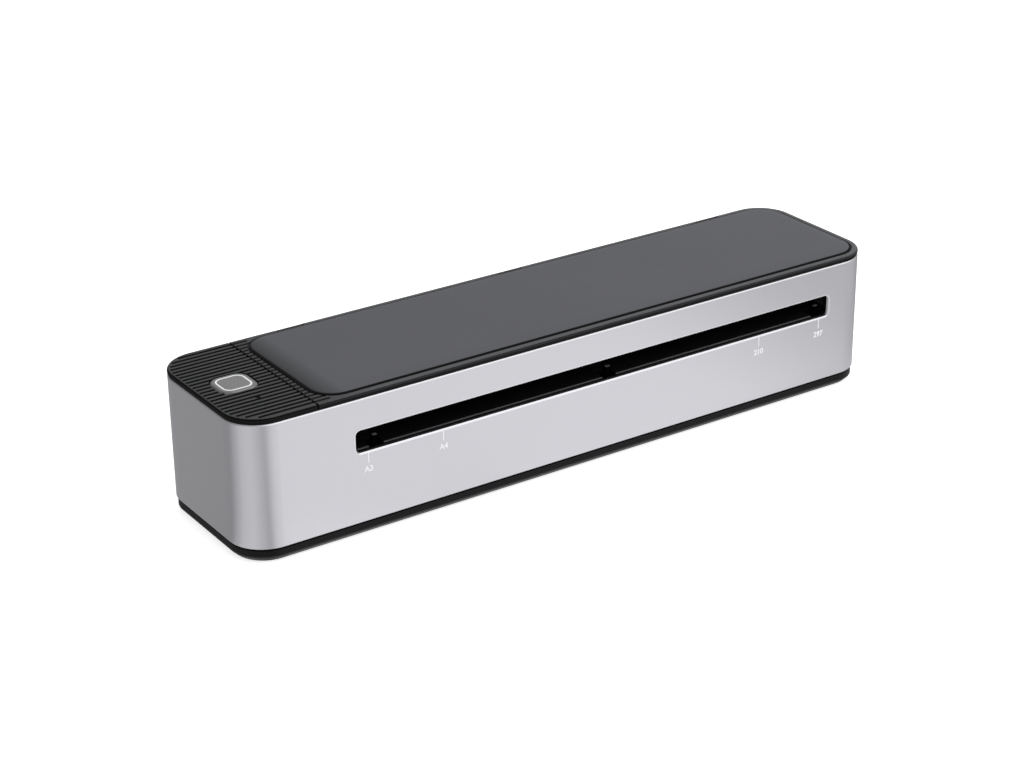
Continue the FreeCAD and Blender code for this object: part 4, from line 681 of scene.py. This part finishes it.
def stamp_tree(name, inputs, shape):
    """Geometry nodes: one shape on every point, made real and given its finish."""
    tree = bpy.data.node_groups.new(name, "GeometryNodeTree")
    for socket, kind in {"Points": "Geometry", **inputs, "Finish": "Material"}.items():
        tree.interface.new_socket(socket, in_out="INPUT", socket_type=f"NodeSocket{kind}")
    tree.interface.new_socket("Pieces", in_out="OUTPUT", socket_type="NodeSocketGeometry")
    nodes, link = tree.nodes, tree.links.new
    start, end = nodes.new("NodeGroupInput").outputs, nodes.new("NodeGroupOutput").inputs
    spots = nodes.new("GeometryNodeMeshToPoints")
    place = nodes.new("GeometryNodeInstanceOnPoints")
    real = nodes.new("GeometryNodeRealizeInstances")
    coated = nodes.new("GeometryNodeSetMaterial")
    link(start["Points"], spots.inputs["Mesh"])
    link(spots.outputs["Points"], place.inputs["Points"])
    link(shape(tree, start), place.inputs["Instance"])
    link(place.outputs["Instances"], real.inputs["Geometry"])
    link(real.outputs["Geometry"], coated.inputs["Geometry"])
    link(start["Finish"], coated.inputs["Material"])
    link(coated.outputs["Geometry"], end["Pieces"])
    return tree


def stamp(name, tree, places, values):
    """The plain mesh of what a stamp tree puts on these places."""
    mesh = bpy.data.meshes.new(f"{name} points")
    mesh.from_pydata(places, [], [])
    piece = bpy.data.objects.new(f"{name} points", mesh)
    modifier = piece.modifiers.new("stamp", "NODES")
    modifier.node_group = tree
    for item in tree.interface.items_tree:
        if item.name in values:
            modifier[item.identifier] = values[item.name]
    return plain_mesh(piece, name)


# Soft pad

def pad_loop(low, high, inset, sizes):
    """Points of the pad's outline drawn in by an inset, front left corner first."""
    points = []
    x0, x1 = low.x + inset, high.x - inset
    y0, y1 = low.y + inset, high.y - inset
    least = 0.02 * MM
    corners = (
        (x0, y0, sizes.left_corner, 180),
        (x1, y0, sizes.right_corner, 270),
        (x1, y1, sizes.right_corner, 0),
        (x0, y1, sizes.left_corner, 90),
    )
    for x, y, radius, begin in corners:
        radius = max(min(radius - inset, (y1 - y0) / 2), least)
        cx = x + radius if x == x0 else x - radius
        cy = y + radius if y == y0 else y - radius
        for i in range(sizes.corner_steps + 1):
            angle = math.radians(begin + 90 * i / sizes.corner_steps)
            points.append(Vector((cx + radius * math.cos(angle), cy + radius * math.sin(angle), 0)))
    return points


def spread_points(points, run_pieces):
    """The loop with its straight runs cut into equal pieces, so that the foam can wave."""
    spread = []
    size = len(points) // len(run_pieces)
    for side, pieces in enumerate(run_pieces):
        corner = points[side * size:(side + 1) * size]
        following = points[(side + 1) * size % len(points)]
        spread += corner
        spread += [corner[-1].lerp(following, i / pieces) for i in range(1, pieces)]
    return spread


def pad_height(point, inset, low, high, sizes):
    """Height of the pad's skin: rolled edge, sloping end, swell and slow waves."""
    share = min(inset / sizes.roll, 1)
    roll = math.sqrt(1 - (1 - share) ** 2)
    end = max(0.0, 1 - (point.x - low.x) / sizes.end_roll)
    drop = sizes.end_drop * end ** 2
    swell = sizes.crown * max(0.0, 1 - inset / sizes.crown_reach) ** 2
    wave = noise.noise(point * PAD_WAVES) * sizes.unevenness * share
    return low.z + (high.z - low.z - max(drop, swell) - sizes.unevenness) * roll + wave


def build_pad(work):
    """The pad's skin, ring by ring from its edge to its middle, and its flat underside."""
    low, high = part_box("lid_pad")
    sizes = bpy.context.scene.pad_sizes
    half = (high.y - low.y) / 2
    rings = []
    for inset in (share * half for share in PAD_RINGS):
        loop = spread_points(pad_loop(low, high, inset, sizes), PAD_RUN_PIECES)
        for point in loop:
            point.z = pad_height(point, inset, low, high, sizes)
        rings.append([work.verts.new(point) for point in loop])
    under = [work.verts.new((v.co.x, v.co.y, low.z)) for v in rings[0]]
    rings[0:0] = [under]
    for inner, outer in zip(rings[1:], rings):
        for i in range(len(inner)):
            j = (i + 1) % len(inner)
            work.faces.new((outer[i], outer[j], inner[j], inner[i]))
    work.faces.new(rings[-1])
    work.faces.new(list(reversed(under)))


# Size marks

def bar_shape(tree, start):
    """A thin bar."""
    bar = tree.nodes.new("GeometryNodeMeshCube")
    tree.links.new(start["Bar"], bar.inputs["Size"])
    return bar.outputs["Mesh"]


def print_depth(sizes):
    """Where the middle of the print's film lies, just in front of the sleeve."""
    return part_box("outer_sleeve")[0].y - sizes.film / 2


def make_ticks(ink):
    """A tick above each of the size marks."""
    sizes = bpy.context.scene.mark_sizes
    middle = (sizes.tick_top + sizes.tick_low) / 2
    places = [(x * MM, print_depth(sizes), middle) for _, x in MARKS]
    bar = (sizes.tick_width, sizes.film, sizes.tick_top - sizes.tick_low)
    tree = stamp_tree("slot ticks", {"Bar": "Vector"}, bar_shape)
    return stamp("size_ticks", tree, places, {"Bar": bar, "Finish": ink})


def make_number(text, x, ink):
    """One of the size marks, upright on the sleeve's front."""
    sizes = bpy.context.scene.mark_sizes
    curve = bpy.data.curves.new(text, "FONT")
    curve.body = text
    curve.size = sizes.text_size
    curve.align_x = "CENTER"
    curve.align_y = "CENTER"
    curve.extrude = sizes.film / 2
    curve.offset = sizes.stroke
    curve.resolution_u = 3
    piece = plain_mesh(bpy.data.objects.new(text, curve), f"size_number_{text}")
    piece.data.materials.clear()
    piece.data.materials.append(ink)
    upright = Matrix.Rotation(math.radians(90), 4, "X")
    place = Matrix.Translation((x * MM, print_depth(sizes), sizes.text_middle))
    piece.data.transform(place @ upright)
    return piece


# Head springs

def coil_shape(tree, start):
    """A coil of round wire."""
    link = tree.links.new
    coil = tree.nodes.new("GeometryNodeCurveSpiral")
    ring = tree.nodes.new("GeometryNodeCurvePrimitiveCircle")
    ring.inputs["Resolution"].default_value = WIRE_SIDES
    tube = tree.nodes.new("GeometryNodeCurveToMesh")
    tube.inputs["Fill Caps"].default_value = True
    for socket, name in (("Resolution", "Steps"), ("Rotations", "Turns"), ("Start Radius", "Radius"),
                         ("End Radius", "Radius"), ("Height", "Height")):
        link(start[name], coil.inputs[socket])
    link(start["Wire"], ring.inputs["Radius"])
    link(coil.outputs["Curve"], tube.inputs["Curve"])
    link(ring.outputs["Curve"], tube.inputs["Profile Curve"])
    return tube.outputs["Mesh"]


def make_springs(steel):
    """The three springs between the lid and the print head."""
    sizes = bpy.context.scene.spring_sizes
    low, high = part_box("head_springs")
    middle = middle_of("head_springs")
    places = [(middle.x + side * sizes.spacing, middle.y, low.z + sizes.wire) for side in (-1, 0, 1)]
    values = {
        "Radius": sizes.radius,
        "Wire": sizes.wire,
        "Height": high.z - low.z - 2 * sizes.wire,
        "Turns": sizes.turns,
        "Steps": sizes.steps,
        "Finish": steel,
    }
    inputs = {"Radius": "Float", "Wire": "Float", "Height": "Float", "Turns": "Float", "Steps": "Int"}
    return stamp("head_spring_coils", stamp_tree("head springs", inputs, coil_shape), places, values)


# Studio

def area_light(name, place, size, power):
    """A soft rectangular light that points at the object."""
    data = bpy.data.lights.new(name, "AREA")
    data.shape = "RECTANGLE"
    data.size, data.size_y = size
    data.energy = power
    light = bpy.data.objects.new(name, data)
    light.location = place
    light.rotation_mode = "QUATERNION"
    light.rotation_quaternion = (LIGHT_TARGET - Vector(place)).to_track_quat("-Z", "Y")
    bpy.context.scene.collection.objects.link(light)


def make_camera(studio):
    """The camera, looking against the direction that its two angles give."""
    back = Vector((
        math.sin(studio.azimuth) * math.cos(studio.elevation),
        -math.cos(studio.azimuth) * math.cos(studio.elevation),
        math.sin(studio.elevation),
    ))
    right = Matrix.Rotation(studio.roll, 3, back) @ Vector((0, 0, 1)).cross(back).normalized()
    up = back.cross(right)
    data = bpy.data.cameras.new("camera")
    data.lens = studio.lens
    data.sensor_width = 36
    data.clip_start, data.clip_end = 0.01, 50
    camera = bpy.data.objects.new("camera", data)
    camera.matrix_world = Matrix((
        (right.x, up.x, back.x, studio.place[0]),
        (right.y, up.y, back.y, studio.place[1]),
        (right.z, up.z, back.z, studio.place[2]),
        (0, 0, 0, 1),
    ))
    bpy.context.scene.collection.objects.link(camera)
    bpy.context.scene.camera = camera


def by_ray(nodes, link, shown, mirrored, plain):
    """Shown to the camera and through glass, mirrored in gloss, and plain to every other ray."""
    path = nodes.new("ShaderNodeLightPath")
    result = plain
    for ray, shader in (("Glossy", mirrored), ("Transmission", shown), ("Camera", shown)):
        mix = nodes.new("ShaderNodeMixShader")
        link(path.outputs[f"Is {ray} Ray"], mix.inputs["Fac"])
        link(result.outputs[0], mix.inputs[1])
        link(shader.outputs[0], mix.inputs[2])
        result = mix
    return result.outputs[0]


def sweep_nodes(nodes, link, shader, vector, centre=(0, 0, 0)):
    """Lights a shader with the studio's sweep, seen from a centre."""
    mapping = nodes.new("ShaderNodeMapping")
    mapping.inputs["Location"].default_value = tuple(-value for value in centre)
    sweep = nodes.new("ShaderNodeGroup")
    sweep.node_tree = sweep_group()
    link(vector, mapping.inputs["Vector"])
    link(mapping.outputs["Vector"], sweep.inputs["Vector"])
    link(sweep.outputs["Level"], shader.inputs["Color"])
    return shader


def make_world(studio):
    """White to the camera, the sweep in gloss, and an even light for the rest."""
    world = bpy.data.worlds.new("studio")
    bpy.context.scene.world = world
    world.use_nodes = True
    nodes, link = world.node_tree.nodes, world.node_tree.links.new
    nodes.clear()
    white, soft, mirrored = (nodes.new("ShaderNodeBackground") for _ in range(3))
    white.inputs["Strength"].default_value = 1.0
    soft.inputs["Strength"].default_value = studio.world_level
    place = nodes.new("ShaderNodeTexCoord")
    sweep = sweep_nodes(nodes, link, mirrored, place.outputs["Generated"])
    output = nodes.new("ShaderNodeOutputWorld")
    link(by_ray(nodes, link, white, sweep, soft), output.inputs["Surface"])


def make_floor():
    """White to the camera with the object's shadow, and the dimming sweep in gloss."""
    mesh = bpy.data.meshes.new("floor")
    turns = ((-1, -1), (1, -1), (1, 1), (-1, 1))
    mesh.from_pydata([(x * FLOOR_REACH, y * FLOOR_REACH, 0) for x, y in turns], [], [(0, 1, 2, 3)])
    floor = bpy.data.objects.new("floor", mesh)
    material = bpy.data.materials.new("white floor")
    material.use_nodes = True
    nodes, link = material.node_tree.nodes, material.node_tree.links.new
    nodes.clear()
    diffuse = nodes.new("ShaderNodeBsdfDiffuse")
    diffuse.inputs["Color"].default_value = (FLOOR_WHITE, FLOOR_WHITE, FLOOR_WHITE, 1)
    shine = nodes.new("ShaderNodeEmission")
    shine.inputs["Strength"].default_value = FLOOR_GLOW
    total = nodes.new("ShaderNodeAddShader")
    place = nodes.new("ShaderNodeTexCoord").outputs["Object"]
    sweep = sweep_nodes(nodes, link, nodes.new("ShaderNodeEmission"), place, SWEEP_CENTRE)
    fall = nodes.new("ShaderNodeMapRange")
    fall.interpolation_type = "SMOOTHSTEP"
    for socket, value in SWEEP_FALL.items():
        fall.inputs[socket].default_value = value
    link(split_axes(material.node_tree, place)["X"], fall.inputs["Value"])
    link(fall.outputs["Result"], sweep.inputs["Strength"])
    output = nodes.new("ShaderNodeOutputMaterial")
    link(diffuse.outputs[0], total.inputs[0])
    link(shine.outputs[0], total.inputs[1])
    link(by_ray(nodes, link, total, sweep, diffuse), output.inputs["Surface"])
    mesh.materials.append(material)
    bpy.context.scene.collection.objects.link(floor)


# Operators, one for each group of pieces

class PRINTER_OT_housing(bpy.types.Operator):
    """Finishes of the sleeve, base, frame, lid and panel"""

    bl_idname = "printer.housing"
    bl_label = "Dress housing"

    def execute(self, context):
        dress(("silver_shell", "black_plastic", "lid_plastic", "rubber"))
        coat("base_tray", base_finish())
        # The lid is a lit copy of the ribbed plastic: its higher tone is painted light, and its depth paints
        # shade into the pad's groove and the rim's sides.
        coat("lid_shell", cap_finish("lid plastic", 1.5, depth=0.8 * MM, blur=1.1 * MM))
        slot = slot_finish()
        for node in ("front_slot_bezel", "rear_slot_bezel"):
            coat(node, slot)
        coat("lower_guide_front", guide_finish())
        lever = lever_finish()
        for side in ("left", "centre", "right"):
            coat(f"sensor_lever_{side}", lever)
        return {"FINISHED"}


class PRINTER_OT_button(bpy.types.Operator):
    """Finishes of the power button, its surround and its light"""

    bl_idname = "printer.button"
    bl_label = "Dress button"

    def execute(self, context):
        dress(("button_face", "button_trim", "light_guide"))
        return {"FINISHED"}


class PRINTER_OT_mechanism(bpy.types.Operator):
    """Finishes of the roller, gears, motor, head and boards"""

    bl_idname = "printer.mechanism"
    bl_label = "Dress mechanism"

    def execute(self, context):
        dress(("steel", "zinc_sheet", "gear_plastic", "motor_can", "circuit", "heat_sink", "ceramic",
               "brass_bush", "battery_wrap", "magnet"))
        return {"FINISHED"}


class PRINTER_OT_springs(bpy.types.Operator):
    """Springs over the print head, riding on the lid"""

    bl_idname = "printer.springs"
    bl_label = "Wind springs"

    def execute(self, context):
        piece = settle(make_springs(FINISHES["steel"]()), "lid")
        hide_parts("head_springs")
        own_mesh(piece)
        return {"FINISHED"}


class PRINTER_OT_pad(bpy.types.Operator):
    """Soft pad on the lid"""

    bl_idname = "printer.pad"
    bl_label = "Build pad"

    def execute(self, context):
        piece = mesh_piece("lid_pad_cover", build_pad, FINISHES["soft_pad"]())
        for face in piece.data.polygons:
            face.use_smooth = True
        settle(piece, "lid")
        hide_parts("lid_pad")
        return {"FINISHED"}


class PRINTER_OT_marks(bpy.types.Operator):
    """Printed ticks and numbers under the front slot"""

    bl_idname = "printer.marks"
    bl_label = "Print size marks"

    def execute(self, context):
        # Painted light: the white ink glows a little, though print gives no light.
        ink = glow(finish("white ink", colours().marks, 0.5, spread=0.01, depth=0.02), 0.25)
        settle(make_ticks(ink), "chassis")
        for text, x in MARKS:
            settle(make_number(text, x, ink), "chassis")
        return {"FINISHED"}


class PRINTER_OT_stage(bpy.types.Operator):
    """Camera, floor, lights and surroundings"""

    bl_idname = "printer.stage"
    bl_label = "Set the studio"

    def execute(self, context):
        studio = context.scene.studio_sizes
        context.scene.view_settings.view_transform = "Standard"
        make_camera(studio)
        make_world(studio)
        make_floor()
        area_light("key light", (0.55, -0.9, 1.1), (2.0, 1.5), studio.key_power)
        area_light("top light", (0.3, 0.3, 1.4), (1.4, 0.9), studio.top_power)
        return {"FINISHED"}


class PRINTER_PT_panel(bpy.types.Panel):
    """Lists the printer's build steps and its values"""

    bl_idname = "PRINTER_PT_panel"
    bl_label = "Printer"
    bl_space_type = "VIEW_3D"
    bl_region_type = "UI"
    bl_category = "Printer"

    def draw(self, context):
        for step in STEPS:
            self.layout.operator(step.bl_idname)
        for group, owner in GROUPS.items():
            box = self.layout.box()
            for name in group.__annotations__:
                box.prop(getattr(context.scene, owner), name)


GROUPS = {
    PrinterColours: "printer_colours",
    PadSizes: "pad_sizes",
    MarkSizes: "mark_sizes",
    SpringSizes: "spring_sizes",
    StudioSizes: "studio_sizes",
}
STEPS = (
    PRINTER_OT_stage,
    PRINTER_OT_housing,
    PRINTER_OT_button,
    PRINTER_OT_mechanism,
    PRINTER_OT_springs,
    PRINTER_OT_pad,
    PRINTER_OT_marks,
)


def register():
    for group, name in GROUPS.items():
        bpy.utils.register_class(group)
        setattr(bpy.types.Scene, name, bpy.props.PointerProperty(type=group))
    for step in STEPS:
        bpy.utils.register_class(step)
    bpy.utils.register_class(PRINTER_PT_panel)


def unregister():
    bpy.utils.unregister_class(PRINTER_PT_panel)
    for step in reversed(STEPS):
        bpy.utils.unregister_class(step)
    for group, name in GROUPS.items():
        delattr(bpy.types.Scene, name)
        bpy.utils.unregister_class(group)


def main():
    register()
    bpy.ops.printer.stage()
    bpy.ops.printer.housing()
    bpy.ops.printer.button()
    bpy.ops.printer.mechanism()
    bpy.ops.printer.springs()
    bpy.ops.printer.pad()
    bpy.ops.printer.marks()


if __name__ == "__main__":
    main()
